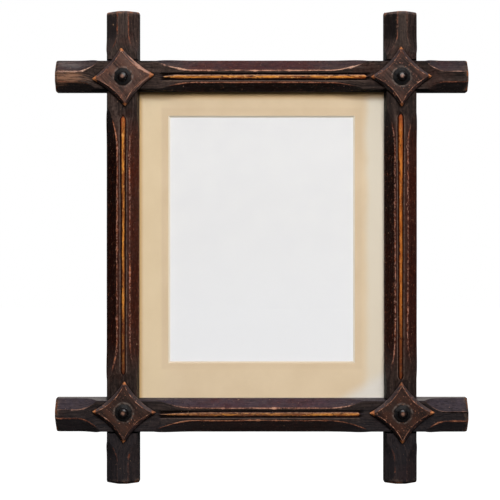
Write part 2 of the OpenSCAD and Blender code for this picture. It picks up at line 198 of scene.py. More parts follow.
class FrameColours(bpy.types.PropertyGroup):
    """Colours of the finishes"""

    oak_dark: colour("Oak, dark", "Stained oak in the hollows of its grain", paint(35, 28, 26))
    oak_light: colour("Oak, light", "Stained oak on the crests of its grain", paint(75, 60, 54))
    oak_red: colour("Oak, red", "Stain that has thinned on the chamfers", paint(76, 27, 13))
    oak_rubbed: colour("Oak, rubbed", "Stain rubbed grey by the bead and on the horns", paint(112, 92, 80))
    copper: colour("Worn, copper", "Wood where the stain has just worn through", paint(168, 98, 58))
    # On the rails' upward-facing arrises this pale tone is a painted highlight as well as bare wood.
    pale: colour("Worn, pale", "Bare wood at the sharpest edges", paint(204, 168, 146))
    bead: colour("Bead", "Bare wood along the bead", paint(224, 144, 60))
    star: colour("Star", "Brown stain of the stars", paint(92, 64, 53))
    star_dark: colour("Star, dark", "Dark streaks in the stars", paint(40, 26, 22))
    stud: colour("Stud", "Black of the studs", paint(9, 8, 9))
    mount: colour("Mount", "Aged beige face of the window mount", paint(228, 205, 172))
    core: colour("Mount core", "Cream core where the mount is cut", paint(238, 226, 206))
    sheet: colour("Sheet", "Blank picture sheet", paint(238, 237, 236))
    card: colour("Card", "Brown grey backing card", paint(158, 140, 115))
    pine: colour("Pine", "Pine darkened with age", paint(158, 122, 84))
    pine_line: colour("Pine, late wood", "Dark lines of the pine's grain", paint(120, 84, 52))
    brass: colour("Brass", "Aged brass", paint(190, 152, 84))
    tarnish: colour("Tarnish", "Brown tarnish on the brass", paint(92, 66, 36))


class StageSettings(bpy.types.PropertyGroup):
    """The stage round the frame"""

    drop: length("Floor drop", "Distance from the bottom horns down to the floor", 0.3)
    floor_half: length("Floor reach", "From the middle of the floor to each of its sides", 9.0)
    lens: FloatProperty(name="Lens", description="Focal length of the camera", default=0.1032, unit="CAMERA")
    eye: lengths("Camera's place", "Where the camera stands, square to the wall", -0.00293, -1.2, 0.00575)
    shift: shares("Shift", "How far the picture is shifted across and up, as shares of it", -0.0163, -0.0239)
    key_place: lengths("Key lamp's place", "Where the softbox in front hangs", 0.16, -1.5, 0.78)
    key_size: length("Key lamp's size", "Side of the softbox in front", 0.8)
    key_power: power("Key lamp", "Power of the softbox in front", 27.0)
    overhead_place: lengths("Top lamp's place", "Where the softbox above hangs", 0.15, -0.4, 1.35)
    overhead_size: length("Top lamp's size", "Side of the softbox above", 0.35)
    overhead_power: power("Top lamp", "Power of the softbox above", 0.8)


# Node helpers


class Flow:
    """What flows from a node's output. Arithmetic on it adds a Math node."""

    def __init__(self, socket):
        self.socket, self.tree = socket, socket.id_data

    def __add__(self, other):
        return calc("ADD", self, other)

    def __sub__(self, other):
        return calc("SUBTRACT", self, other)

    def __rsub__(self, other):
        return calc("SUBTRACT", other, self)

    def __mul__(self, other):
        return calc("MULTIPLY", self, other)

    def __truediv__(self, other):
        return calc("DIVIDE", self, other)

    def __rtruediv__(self, other):
        return calc("DIVIDE", other, self)

    def __neg__(self):
        return calc("MULTIPLY", self, -1.0)

    def __abs__(self):
        return calc("ABSOLUTE", self)

    __radd__, __rmul__ = __add__, __mul__


def feed(socket, value):
    """Links a flow to a socket, or else sets the socket's own value."""
    if isinstance(value, Flow):
        value.tree.links.new(value.socket, socket)
    elif value is not None:
        socket.default_value = value


def put(tree, kind, inputs=None, **settings):
    """Adds a node. Its inputs are keyed by number, or by name among those in use."""
    node = tree.nodes.new(kind)
    for name, value in settings.items():
        setattr(node, name, value)
    for key, value in (inputs or {}).items():
        if isinstance(key, str):
            feed(next(s for s in node.inputs if s.name == key and s.enabled), value)
        else:
            feed(node.inputs[key], value)
    return node


def flows(node):
    """Everything that flows from a node, by the names of its outputs."""
    return {output.name: Flow(output) for output in node.outputs if output.enabled}


def made(tree, kind, inputs=None, **settings):
    """What flows from the first output in use of a new node."""
    return next(iter(flows(put(tree, kind, inputs, **settings)).values()))


def tree_of(*values):
    """The tree that the first flow among the values is in."""
    return next(value for value in values if isinstance(value, Flow)).tree


def calc(operation, *values):
    """One operation on numbers."""
    return made(tree_of(*values), "ShaderNodeMath", dict(enumerate(values)), operation=operation)


def most(a, b):
    """The larger of two numbers."""
    return calc("MAXIMUM", a, b)


def vector_calc(operation, *values):
    """One operation on vectors."""
    return made(tree_of(*values), "ShaderNodeVectorMath", dict(enumerate(values)), operation=operation)


def scaled(vector, factor):
    """A vector times a number, or times a number for each axis."""
    if isinstance(factor, tuple):
        return vector_calc("MULTIPLY", vector, factor)
    return made(vector.tree, "ShaderNodeVectorMath", {0: vector, 3: factor}, operation="SCALE")


def vector_of(x, y, z):
    """A vector from its three parts."""
    return made(tree_of(x, y, z), "ShaderNodeCombineXYZ", {0: x, 1: y, 2: z})


def parts_of(vector):
    """A vector's three parts."""
    return flows(put(vector.tree, "ShaderNodeSeparateXYZ", {0: vector})).values()


def step(value, low, high, to_low=0.0, to_high=1.0):
    """A smooth step from to_low at low to to_high at high."""
    inputs = {"Value": value, "From Min": low, "From Max": high, "To Min": to_low, "To Max": to_high}
    return made(value.tree, "ShaderNodeMapRange", inputs, interpolation_type="SMOOTHSTEP")


def blend(share, a, b, mode="MIX"):
    """Two colours mixed by share."""
    inputs = {0: share, 6: a, 7: b}
    return made(tree_of(share, a, b), "ShaderNodeMix", inputs, data_type="RGBA", blend_type=mode)


def between(share, a, b):
    """Two numbers mixed by share."""
    return made(share.tree, "ShaderNodeMix", {0: share, 2: a, 3: b}, data_type="FLOAT")


def noise(vector, scale, detail=3.0, roughness=0.55, distortion=0.0, seed=None):
    """Noise from 0 to 1, about 0.5, at scale per unit of vector."""
    inputs = {"Vector": vector, "Scale": scale, "Detail": detail, "Roughness": roughness}
    inputs["Distortion"] = distortion
    if seed is None:
        return made(vector.tree, "ShaderNodeTexNoise", inputs)
    return made(vector.tree, "ShaderNodeTexNoise", inputs | {"W": seed}, noise_dimensions="4D")


def curve(value, *points):
    """A value read off straight lines through the points given, from 0 to 1 both ways."""
    node = put(value.tree, "ShaderNodeFloatCurve", {"Value": value})
    line = node.mapping.curves[0]
    while len(line.points) < len(points):
        line.points.new(0.5, 0.5)
    for spot, (x, y) in zip(line.points, points):
        spot.location = (x, y)
        spot.handle_type = "VECTOR"
    node.mapping.update()
    return Flow(node.outputs[0])


def group(name, kind, inputs, outputs):
    """An empty node group, as (what flows in, the sockets that it puts out). Each default gives its type."""
    kinds = {float: "NodeSocketFloat", int: "NodeSocketInt", tuple: "NodeSocketVector"}
    tree = bpy.data.node_groups.new(name, kind)
    for label, value in inputs.items():
        plain = type(value) in kinds
        socket = kinds[type(value)] if plain else value
        item = tree.interface.new_socket(label, in_out="INPUT", socket_type=socket)
        if plain:
            item.default_value = value
    for label, socket in outputs.items():
        tree.interface.new_socket(label, in_out="OUTPUT", socket_type=socket)
    return flows(tree.nodes.new("NodeGroupInput")), tree.nodes.new("NodeGroupOutput").inputs


def use(name, inputs):
    """Places a shader node group in the tree of what feeds it, and gives what flows from it."""
    tree, placed = tree_of(*inputs.values()), bpy.data.node_groups[name]
    return flows(put(tree, "ShaderNodeGroup", inputs, node_tree=placed)).values()


# Shared shader effects


def effect(name, inputs, *outputs):
    """An empty shader node group that puts out masks."""
    return group(name, "ShaderNodeTree", inputs, {label: "NodeSocketFloat" for label in outputs})


def make_grain():
    """Wood grain: long streaks and short dark pores along the vector's first axis."""
    inputs = {"Vector": (0.0, 0.0, 0.0), "Streak Length": 0.03, "Streak Width": 0.0007, "Pores": 0.5}
    given, out = effect("Wood grain", inputs, "Streaks", "Pores")
    per_length, per_width = 1.0 / given["Streak Length"], 1.0 / given["Streak Width"]
    placed = vector_calc("MULTIPLY", given["Vector"], vector_of(per_length, per_width, per_width))
    wide = noise(scaled(placed, 0.22), 1.0, 2.0, 0.5, 0.6)
    thin = noise(placed, 1.0, 4.0, 0.6, 0.3)
    pores = noise(scaled(placed, (4.5, 1.6, 1.6)), 1.0, 1.0, 0.5)
    feed(out["Streaks"], step(0.45 * wide + 0.55 * thin, 0.36, 0.64))
    feed(out["Pores"], step(pores, 0.6, 0.72) * given["Pores"])


def make_wear():
    """Wear that eats into an edge mask: Bare is where the finish is gone, Thin is where it is going."""
    inputs = {"Edge": 0.0, "Vector": (0.0, 0.0, 0.0), "Patch Size": 0.006, "Amount": 0.5}
    given, out = effect("Worn edges", inputs, "Bare", "Thin")
    size = 1.0 / given["Patch Size"]
    broad = noise(scaled(given["Vector"], size), 1.0, 2.0, 0.5)
    crumbs = noise(scaled(given["Vector"], 7.0 * size), 1.0, 3.0, 0.65)
    mottle = 0.5 * broad + 0.5 * crumbs
    gain = (mottle - 0.5) + (given["Amount"] - 0.5)
    worn = given["Edge"] * (5.0 * gain + 0.65)
    feed(out["Bare"], step(worn, 0.62, 0.98))
    feed(out["Thin"], step(worn, 0.22, 0.72))


def make_dust_sheen_and_shade():
    """Dust and painted sheen on faces that look up, and painted shade on faces that look down or to the left,
    away from the light.
    """
    inputs = {"Normal": (0.0, 0.0, 0.0), "Vector": (0.0, 0.0, 0.0)}
    given, out = effect("Dust and soot", inputs, "Dust", "Soot")
    x, _, z = parts_of(given["Normal"])
    spots = noise(given["Vector"], 160.0, 4.0, 0.6)
    # Dust, with painted sheen, on faces that look up.
    feed(out["Dust"], step(z, 0.25, 0.75) * step(spots, 0.25, 0.75, 0.55, 1.0))
    # Painted shade on faces that look down or to the left, away from the light.
    feed(out["Soot"], step(-z - 0.8 * x + 0.2 * (spots - 0.5), 0.12, 0.55))


# Helpers for the materials


def new_material(name):
    """A new material's node tree and its Principled shader. The material is kept among the finishes."""
    material = FINISHES[name] = bpy.data.materials.new(name)
    material.use_nodes = True
    tree = material.node_tree
    return tree, next(n for n in tree.nodes if n.type == "BSDF_PRINCIPLED")


def dress(shader, inputs):
    """Feeds a shader's inputs by their names."""
    for name, value in inputs.items():
        feed(shader.inputs[name], value)


def relief(height, strength, distance):
    """The normal that a height gives by a bump."""
    return made(height.tree, "ShaderNodeBump", {"Strength": strength, "Distance": distance, "Height": height})


def place_and_normal(tree):
    """Object coordinates, in metres, and the surface's normal in the object's own frame."""
    given = flows(put(tree, "ShaderNodeTexCoord"))
    return given["Object"], given["Normal"]


def marks_of(tree, name):
    """The three masks of a colour attribute and its fourth."""
    given = flows(put(tree, "ShaderNodeAttribute", attribute_name=name))
    masks = flows(put(tree, "ShaderNodeSeparateColor", {0: given["Color"]}))
    return *masks.values(), given["Alpha"]


def drawn_out(grain, along, across, detail, roughness):
    """Noise that follows the grain, with so many bends per metre along it and across it."""
    return noise(scaled(grain, (along, across, 1.0)), 1.0, detail, roughness)


def rubbed_patch(place, grain, centre, radii, strength):
    """A ragged patch of wear about a point of the frame, torn along the grain."""
    away = vector_calc("DIVIDE", vector_calc("SUBTRACT", place, centre), radii)
    torn = drawn_out(grain, 75.0, 1100.0, 4.0, 0.6)
    reach = vector_calc("LENGTH", away) + 3.6 * (torn - 0.5)
    return step(reach, 0.1, 1.1, 1.0, 0.0) * strength


def corner_shade(tree, reach):
    """How deep a point lies in a corner or a groove, from 0 to 1, within reach, for painting shade there."""
    around = put(tree, "ShaderNodeAmbientOcclusion", {"Distance": reach}, samples=6)
    return step(flows(around)["AO"], 0.25, 0.85, 1.0, 0.0)


def darkened(tint, share):
    """A colour times a number."""
    return blend(1.0, tint, vector_of(share, share, share), "MULTIPLY")


# The members' oak


def member_marks(tree):
    """Where a point of a member lies: its carving's masks, its place in the frame and the way it faces."""
    at = SimpleNamespace(along=made(tree, "ShaderNodeUVMap", uv_map="along"))
    at.arris, at.bead, at.groove, at.rub = marks_of(tree, "carving")
    at.middle, at.slope, at.tip, at.on_rail = marks_of(tree, "zones")
    at.off_span, at.on_stile = 1.0 - at.middle, 1.0 - at.on_rail
    at.place, at.normal = place_and_normal(tree)
    at.x, _, at.z = parts_of(at.place)
    at.faces_x, _, at.faces_z = parts_of(at.normal)
    return at


def red_chamfers(at, base, tints):
    """The stain thinned to red on the chamfers and beside the stiles' beads, in patches."""
    patches = noise(at.place, 38.0, 3.0, 0.6)
    stiles, rails = step(patches, 0.35, 0.65, 0.7, 0.95), step(patches, 0.35, 0.65, 0.2, 0.85)
    red = at.slope * between(at.middle, 0.05, 0.85) * between(at.on_rail, stiles, rails)
    beside_bead = at.middle * between(at.on_rail, 0.55, 0.0)
    base = blend(most(red, beside_bead), base, tints.oak_red)
    return blend(0.3 * step(patches, 0.52, 0.75), base, tints.oak_red)


def dirt_and_painted_shade(at, base):
    """Mottled dirt, darker towards the bottom and to the right, painted shade on the faces away from the
    light, and dust with painted sheen on the upper ones.
    """
    mottles = noise(at.place, 360.0, 4.0, 0.7)
    base = darkened(base, step(mottles, 0.32, 0.68, 0.7, 1.3))
    base = darkened(base, step(at.z, -0.15, 0.12, 0.66, 0.86))
    base = darkened(base, step(at.x, -0.1, 0.1, 1.0, 0.84))
    dust_and_sheen, painted_shade = use("Dust and soot", {"Normal": at.normal, "Vector": at.place})
    # Painted shade on the faces away from the light, stronger high up.
    base = darkened(base, 1.0 - painted_shade * step(at.z, -0.12, 0.12, 0.5, 0.88))
    # Dust and painted sheen on the faces that look up.
    return blend(dust_and_sheen * step(at.z, -0.15, 0.12, 0.2, 0.1), base, paint(122, 110, 130))


def painted_fill_and_highlight(at, base):
    """Painted fill light that greys the chamfers' undersides and the horns' sides, a painted highlight on the
    bottom horns' upper faces, lighter top lands, and darker lands far to the right and on the bottom horns.
    """
    # Painted fill light on the shaded undersides and horn sides.
    underside_fill = step(at.faces_z, -0.2, -0.6) * (step(at.z, 0.1, -0.1, 0.02, 0.16) + 0.08 * at.off_span)
    horn_side_fill = at.off_span * step(abs(at.faces_z), 0.2, 0.5, 1.0, 0.0)
    top_horns = step(at.x, -0.05, 0.05, 0.17, 0.07)
    leftward = between(step(at.z, 0.1, 0.15), 0.1, top_horns)
    leftward = between(step(at.faces_x, 0.3, -0.5), 0.03, leftward)
    base = blend(at.slope * (underside_fill + horn_side_fill * leftward), base, paint(104, 92, 92))

    base = darkened(base, between(at.slope, step(at.x, 0.13, 0.155, 1.0, 0.78), 1.0))
    top_lands = step(at.z, 0.15, 0.18, 0.0, 0.08) * (1.0 - at.slope)
    base = blend(top_lands, base, paint(140, 122, 112))
    # Painted highlight on the upward faces of the bottom horns.
    horn_top_highlight = step(at.faces_z, 0.85, 0.97) * step(at.z, 0.0, -0.1, 0.0, 0.7)
    horn_top_highlight = horn_top_highlight * step(abs(at.x), 0.124, 0.13) * at.on_rail
    base = blend(horn_top_highlight, base, paint(150, 142, 138))
    bottom_horns = step(at.z, -0.11, -0.16, 0.0, 0.5) * at.off_span
    return blend(bottom_horns, base, paint(44, 43, 48))


def rubbed_lands(at, base, tints):
    """The lands rubbed grey beside the grooves, and the two worn places on the top left horn."""
    thinned = step(noise(at.along, 420.0, 3.0), 0.3, 0.65, 0.35, 0.95)
    rubbed_tone = blend(at.on_rail, paint(132, 110, 98), tints.oak_rubbed)
    base = blend(at.rub * thinned, base, rubbed_tone)
    horn_top, horn_face = (-0.158, -0.014, 0.149), (-0.164, -0.02, 0.138)
    grey = rubbed_patch(at.place, at.along, horn_top, (0.013, 0.02, 0.004), 0.25)
    base = blend(grey, base, paint(150, 142, 138))
    worn_horn = rubbed_patch(at.place, at.along, horn_face, (0.02, 0.006, 0.006), 0.72)
    return blend(worn_horn, base, paint(156, 112, 86))


def worn_edges(edge, place, patch, amount):
    """Where an edge is bare and where its finish is thin."""
    return use("Worn edges", {"Edge": edge, "Vector": place, "Patch Size": patch, "Amount": amount})


def worn_arrises(at, base, tints):
    """Arrises and horn ends worn to copper, palest on the rails' upper arrises, where the pale tone is also a
    painted highlight, as (colour, worn mask).
    """
    bare, thin = worn_edges(at.arris, at.place, 0.007, between(at.on_rail, 0.52, 0.58))
    # Upward-facing rail arrises take the paler tones: wear and a painted highlight.
    lit_upper_side = at.on_rail * step(at.faces_z, -0.3, 0.05, 0.2, 1.0) * between(at.middle, 1.0, 0.55)
    worn_tone = blend(lit_upper_side, paint(138, 70, 42), paint(150, 112, 98))
    bare_tone = blend(lit_upper_side, paint(190, 118, 78), tints.pale)
    base = blend(0.8 * thin, base, worn_tone)
    base = blend(0.85 * bare, base, bare_tone)

    grit = step(drawn_out(at.along, 420.0, 900.0, 2.0, 0.6), 0.48, 0.58) * at.arris
    grit = grit * between(at.on_rail, step(at.x, -0.05, 0.05, 1.0, 1.3), 0.35)
    grit = grit * between(at.middle, 0.25, 1.0)
    base = blend(0.8 * grit, base, paint(204, 150, 128))
    scuffs = step(drawn_out(at.along, 260.0, 620.0, 3.0, 0.65), 0.6, 0.68)
    scuffs = scuffs * at.slope * between(at.on_rail, 0.4, 0.15) * at.middle
    base = blend(scuffs, base, paint(158, 92, 64))

    end_bare, end_thin = worn_edges(at.tip, at.place, 0.005, 0.52)
    base = blend(0.5 * end_thin, base, tints.oak_rubbed)
    return blend(0.8 * end_bare, base, tints.copper), thin


def bead_tone(at, ragged, flecks, tints):
    """The colour of the bare bead: orange with glints, browner in patches that differ from side to side, with
    a painted pale sheen on the rails' upper flanks.
    """
    long_patches = step(drawn_out(at.along, 50.0, 420.0, 3.0, 0.55), 0.4, 0.6)
    tone = blend(long_patches, paint(132, 72, 34), tints.bead)
    glints = step(drawn_out(at.along, 260.0, 700.0, 2.0, 0.5), 0.56, 0.68)
    tone = blend(0.75 * glints, tone, paint(240, 176, 100))
    tone = blend(step(ragged, 0.5, 0.95), paint(74, 34, 17), tone)
    tone = darkened(tone, step(at.x, 0.05, 0.13, 1.0, 0.76))
    tone = blend(step(at.x, 0.05, 0.11, 0.0, 0.35), tone, paint(206, 104, 36))

    # Painted sheen: the rails' bead paler on its upward-facing flank.
    upper_flank_sheen = at.on_rail * step(at.faces_z, 0.05, 0.4, 0.0, 0.6) * step(ragged, 0.3, 0.7)
    tone = blend(upper_flank_sheen, tone, paint(222, 178, 146))
    brown_left = at.on_rail * step(at.x, 0.045, 0.02, 0.35, 0.85) * step(at.z, 0.1, -0.1)
    tone = blend(brown_left * step(flecks, 0.42, 0.6, 1.0, 0.25), tone, paint(112, 74, 56))
    tone = blend(step(at.z, 0.09, 0.108, 0.0, 0.7) * at.on_stile, tone, paint(150, 70, 42))
    foot = step(at.z, -0.035, -0.088) * at.on_stile * step(ragged, 0.45, 1.0, 0.97, 0.75)
    return blend(foot, tone, paint(84, 42, 26))


def bare_bead(at, base, flecks, tints):
    """The bead worn bare between its grooves, which are painted dark as shade."""
    nicks = drawn_out(at.along, 190.0, 520.0, 3.0, 0.6)
    ragged = at.bead + 0.9 * (flecks - 0.5)
    bare = step(at.bead, 0.02, 0.12) * step(ragged, 0.15, 0.45) * step(nicks, 0.57, 0.64, 1.0, 0.15)
    base = blend(bare, base, bead_tone(at, ragged, flecks, tints))
    # The grooves are painted dark as shade.
    groove_shade = blend(at.on_rail, paint(48, 20, 7), paint(14, 6, 3))
    return blend(0.97 * at.groove, base, groove_shade)


def specked(at, base, pores, tints):
    """Specks of bare wood, black pores and painted shade in the corners."""
    specks = step(noise(at.place, 900.0, 2.0, 0.6), 0.66, 0.7)
    base = blend(0.45 * specks, base, tints.oak_rubbed)
    crumbs = step(noise(at.place, 700.0, 2.0, 0.5), 0.725, 0.75)
    base = blend(0.6 * crumbs, base, paint(206, 160, 128))
    base = blend(0.6 * pores, base, paint(13, 10, 10))
    # Painted shade in the corners.
    return darkened(base, 1.0 - 0.8 * corner_shade(at.place.tree, 0.003))


def wood_grain(vector, streak_length, streak_width, pores):
    """The streaks and the pores of a wood whose grain runs along the vector's first axis."""
    inputs = {"Vector": vector, "Streak Length": streak_length, "Streak Width": streak_width, "Pores": pores}
    return use("Wood grain", inputs)


def dark_oak(tints):
    """Dark stained oak, worn to copper-coloured wood along its bead and arrises."""
    tree, shader = new_material("dark_oak")
    at = member_marks(tree)
    streaks, pores = wood_grain(at.along, 0.02, 0.0011, 0.8)
    flecks = drawn_out(at.along, 330.0, 900.0, 4.0, 0.65)
    knife = drawn_out(at.along, 160.0, 420.0, 3.0, 0.6)
    base = red_chamfers(at, blend(streaks, tints.oak_dark, tints.oak_light), tints)
    base = painted_fill_and_highlight(at, dirt_and_painted_shade(at, base))
    base, worn = worn_arrises(at, rubbed_lands(at, base, tints), tints)
    base = specked(at, bare_bead(at, base, flecks, tints), pores, tints)
    rough = between(most(at.bead, worn), between(streaks, 0.52, 0.38), 0.5)
    height = streaks - 1.2 * pores + 0.8 * flecks + 0.9 * knife
    looks = {
        "Base Color": base,
        "Roughness": between(at.groove, rough, 0.8),
        "Specular IOR Level": 0.05,
        "Normal": relief(height, 0.9, 0.0004),
    }
    dress(shader, looks)


# The other materials


def worn_star(base, place, arris, tip):
    """The star's edges worn pale and its tips worn to copper."""
    bare, thin = worn_edges(arris, place, 0.004, 0.5)
    base = blend(0.75 * thin, base, paint(152, 92, 66))
    base = blend(0.85 * bare, base, paint(222, 172, 144))
    tip_bare, tip_thin = worn_edges(tip, place, 0.004, 0.56)
    base = blend(0.85 * tip_thin, base, paint(184, 108, 58))
    return blend(0.5 * tip_bare, base, paint(226, 150, 98))


def star_wood(tints):
    """Brown stained wood with diagonal streaks, tips and bevels worn to copper, painted shade on its bevels,
    sides and corners, and painted light on its upper bevels.
    """
    tree, shader = new_material("star_wood")
    arris, tip, ring, _ = marks_of(tree, "carving")
    place, normal = place_and_normal(tree)
    x, _, z = parts_of(place)
    _, facing, _ = parts_of(normal)
    diagonal = (0.0, math.radians(-46), 0.0)
    turned = made(tree, "ShaderNodeMapping", {"Vector": place, "Rotation": diagonal})
    streaks, pores = wood_grain(turned, 0.014, 0.001, 0.8)
    base = blend(streaks, tints.star_dark, tints.star)
    patches = noise(place, 90.0, 3.0, 0.6)
    base = blend(0.45 * step(patches, 0.42, 0.7), base, paint(120, 70, 50))
    base = darkened(base, step(z, -0.15, 0.15, 0.56, 0.9))
    base = darkened(base, between(step(x, -0.1, 0.1), step(z, -0.1, 0.1, 0.82, 1.0), 0.7))

    # The bevel and the sides painted darker as shade.
    sloped = step(facing, -0.96, -0.8)
    base = blend(0.65 * sloped, base, paint(48, 41, 43))
    dust_and_sheen, painted_shade = use("Dust and soot", {"Normal": normal, "Vector": place})
    # Painted shade on the faces away from the light.
    base = darkened(base, 1.0 - 0.65 * painted_shade)
    # Dust with painted sheen on the upward faces, and painted light on the upper bevels.
    base = blend(0.12 * dust_and_sheen, base, paint(126, 110, 120))
    base = blend(0.5 * (dust_and_sheen * sloped), base, paint(96, 82, 78))
    top_left_bevel, bottom_right_tip = (-0.1, -0.026, 0.146), (0.1158, -0.025, -0.1632)
    # A painted highlight on the top left star's upper bevel.
    bevel_highlight = rubbed_patch(place, turned, top_left_bevel, (0.016, 0.02, 0.016), 0.75)
    base = blend(bevel_highlight * sloped, base, paint(200, 150, 128))
    base = worn_star(base, place, arris, tip)

    scraped = rubbed_patch(place, turned, bottom_right_tip, (0.0026, 0.02, 0.0034), 0.9)
    base = blend(scraped, base, paint(186, 112, 62))
    grime = step(noise(place, 420.0, 3.0, 0.6), 0.4, 0.62, 0.1, 0.7)
    base = blend(ring * grime, base, paint(128, 116, 108))
    specks = step(noise(place, 640.0, 2.0, 0.6), 0.64, 0.68)
    base = blend(0.6 * specks, base, paint(190, 126, 98))
    base = blend(0.6 * pores, base, tints.star_dark)
    # The base colour carries painted shade in the corners round the star.
    looks = {
        "Base Color": darkened(base, 1.0 - 0.75 * corner_shade(tree, 0.002)),
        "Roughness": between(streaks, 0.6, 0.46),
        "Specular IOR Level": 0.14,
        "Normal": relief(streaks - pores, 0.8, 0.0002),
    }
    dress(shader, looks)


def black_stud(tints):
    """Black japanned metal, dull on the flange and polished on the dome, with a painted highlight at its
    crown in a pale rubbed brown.
    """
    tree, shader = new_material("black_stud")
    dome, crown, rim, _ = marks_of(tree, "carving")
    place, _ = place_and_normal(tree)
    cloud = noise(place, 700.0, 4.0, 0.6)
    base = blend(step(cloud, 0.4, 0.75, 0.0, 0.6), tints.stud, paint(40, 32, 30))
    # Painted highlight: a pale brown patch on the dome's crown.
    base = blend(crown * step(cloud, 0.35, 0.6, 0.5, 0.95), base, paint(150, 110, 92))
    bare, thin = worn_edges(rim, place, 0.003, 0.42)
    base = blend(0.5 * thin, base, paint(96, 84, 78))
    looks = {
        "Base Color": blend(0.6 * bare, base, paint(168, 156, 148)),
        "Roughness": between(dome, 0.6, 0.25) + 0.2 * (cloud - 0.5),
        "Specular IOR Level": 0.22,
        "Normal": relief(cloud, 0.25, 0.0001),
    }
    dress(shader, looks)


def window_glass():
    """Clear glass that lets lamps and bounced light straight through."""
    tree, shader = new_material("window_glass")
    looks = {
        "Base Color": (1, 1, 1, 1),
        "Transmission Weight": 1.0,
        "Roughness": 0.0,
        "IOR": 1.45,
        "Specular IOR Level": 0.2,
    }
    dress(shader, looks)
    path = flows(put(tree, "ShaderNodeLightPath"))
    straight = most(path["Is Shadow Ray"], path["Is Diffuse Ray"])
    clear = made(tree, "ShaderNodeBsdfTransparent")
    mixed = made(tree, "ShaderNodeMixShader", {0: straight, 1: Flow(shader.outputs[0]), 2: clear})
    feed(next(n for n in tree.nodes if n.type == "OUTPUT_MATERIAL").inputs["Surface"], mixed)


def lightened_mount(place, x, z, base):
    """The card paler down its right margin and palest in its lower right corner, a painted reflection of the
    glass, and lighter towards the bottom, painted light where the lamp's light falls off.
    """
    # Painted reflection of the glass down the right margin.
    right_margin = step(x + 0.006 * noise(place, 30.0, 2.0), 0.086, 0.094)
    base = blend(0.85 * right_margin, base, paint(227, 218, 201))
    # Painted reflection, palest in the lower right corner.
    corner = step(x - 1.6 * z, 0.261, 0.284)
    base = blend(0.85 * corner, base, paint(230, 228, 224))
    # Painted light towards the bottom.
    return blend(step(z, 0.1, -0.12, 0.0, 0.2), base, paint(250, 226, 190))


def tanned_and_left_lit_mount(x, z, base):
    """The card tanned in a band round the window, and lighter on the left outside that band, painted light
    where the lamp's light falls off.
    """
    window_half_w, window_half_h, window_rise, band_w = 0.0762, 0.1016, 0.0054, 0.007
    past_window = most(abs(x) - window_half_w, abs(z - window_rise) - window_half_h)
    band = step(past_window, band_w - 0.0012, band_w + 0.0014, 1.0, 0.0)
    base = blend(0.14 * band, base, paint(202, 168, 132))
    # Painted light on the left, outside the band.
    left_fill = step(x, -0.07, -0.09) * (1.0 - band)
    return blend(0.3 * left_fill, base, paint(240, 218, 176))


def toasted_and_shaded_mount(x, z, base):
    """The card toasted brown close to the left stile and the top rail, which is also painted warm shade under
    those members.
    """
    left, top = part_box("stile_left")[1].x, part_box("rail_top")[0].z
    by_stile, by_rail = step(x - left, 0.0, 0.004, 1.0, 0.0), step(top - z, 0.001, 0.008, 1.0, 0.0)
    # Toasted card and painted warm shade beside the left stile and under the top rail.
    return blend(0.8 * most(by_stile, by_rail), base, paint(204, 160, 100))


def mount_card(tints):
    """Aged mount card: toasted and tanned in places, with painted shade by the top rail and the left stile, a
    painted reflection down its right, painted light low down and on the left, and cream where the window is
    cut.
    """
    tree, shader = new_material("mount_card")
    place, normal = place_and_normal(tree)
    x, _, z = parts_of(place)
    _, facing, upward = parts_of(normal)
    clouds = step(noise(place, 26.0, 4.0, 0.6), 0.3, 0.7)
    fibres = noise(place, 900.0, 3.0, 0.7)
    base = blend(clouds, tints.mount, paint(221, 197, 163))
    base = blend(step(fibres, 0.35, 0.65, 0.0, 0.05), base, paint(200, 176, 142))
    base = lightened_mount(place, x, z, base)
    base = toasted_and_shaded_mount(x, z, tanned_and_left_lit_mount(x, z, base))
    cut = step(abs(facing), 0.75, 0.9, 1.0, 0.0)
    base = blend(cut, base, tints.core)
    looks = {
        "Base Color": blend(cut * step(upward, 0.1, 0.5), base, paint(210, 188, 162)),
        "Roughness": step(fibres, 0.3, 0.7, 0.8, 0.92),
        "Specular IOR Level": 0.2,
        "Normal": relief(fibres, 0.15, 0.00005),
    }
    dress(shader, looks)


def plain_card(name, tint, other, lower, scale, strength):
    """Paper or card with faint mottling and a fibrous surface, another tone towards its lower edge, which on
    the sheet is painted light.
    """
    tree, shader = new_material(name)
    place, _ = place_and_normal(tree)
    _, _, z = parts_of(place)
    cloud = noise(place, scale, 4.0, 0.6)
    fibres = noise(place, 1100.0, 3.0, 0.7)
    base = blend(step(cloud, 0.3, 0.7), tint, other)
    base = blend(step(fibres, 0.4, 0.7, 0.0, 0.06), base, other)
    looks = {
        "Base Color": blend(step(z, 0.05, -0.1), base, lower),
        "Roughness": step(fibres, 0.3, 0.7, 0.82, 0.94),
        "Specular IOR Level": 0.2,
        "Normal": relief(fibres, strength, 0.00005),
    }
    dress(shader, looks)


def pine_board(tints):
    """A thin pine board with upright grain, darkened and dusty."""
    tree, shader = new_material("pine_board")
    place, _ = place_and_normal(tree)
    x, y, z = parts_of(place)
    bend = noise(scaled(place, (9.0, 9.0, 3.2)), 1.0, 2.0, 0.5)
    rings = calc("FRACT", 95.0 * x + 9.0 * bend)
    late = step(rings, 0.35, 0.92) * step(rings, 0.93, 1.0, 1.0, 0.0)
    streaks, pores = wood_grain(vector_of(z, x, y), 0.03, 0.0006, 0.4)
    base = blend(0.75 * late, tints.pine, tints.pine_line)
    base = blend(0.3 * streaks, base, tints.pine_line)
    stain = noise(place, 14.0, 4.0, 0.6)
    base = blend(step(stain, 0.4, 0.75, 0.0, 0.45), base, paint(96, 72, 50))
    looks = {
        "Base Color": blend(0.5 * pores, base, paint(70, 48, 30)),
        "Roughness": between(late, 0.78, 0.62),
        "Specular IOR Level": 0.3,
        "Normal": relief(late + streaks, 0.35, 0.0001),
    }
    dress(shader, looks)


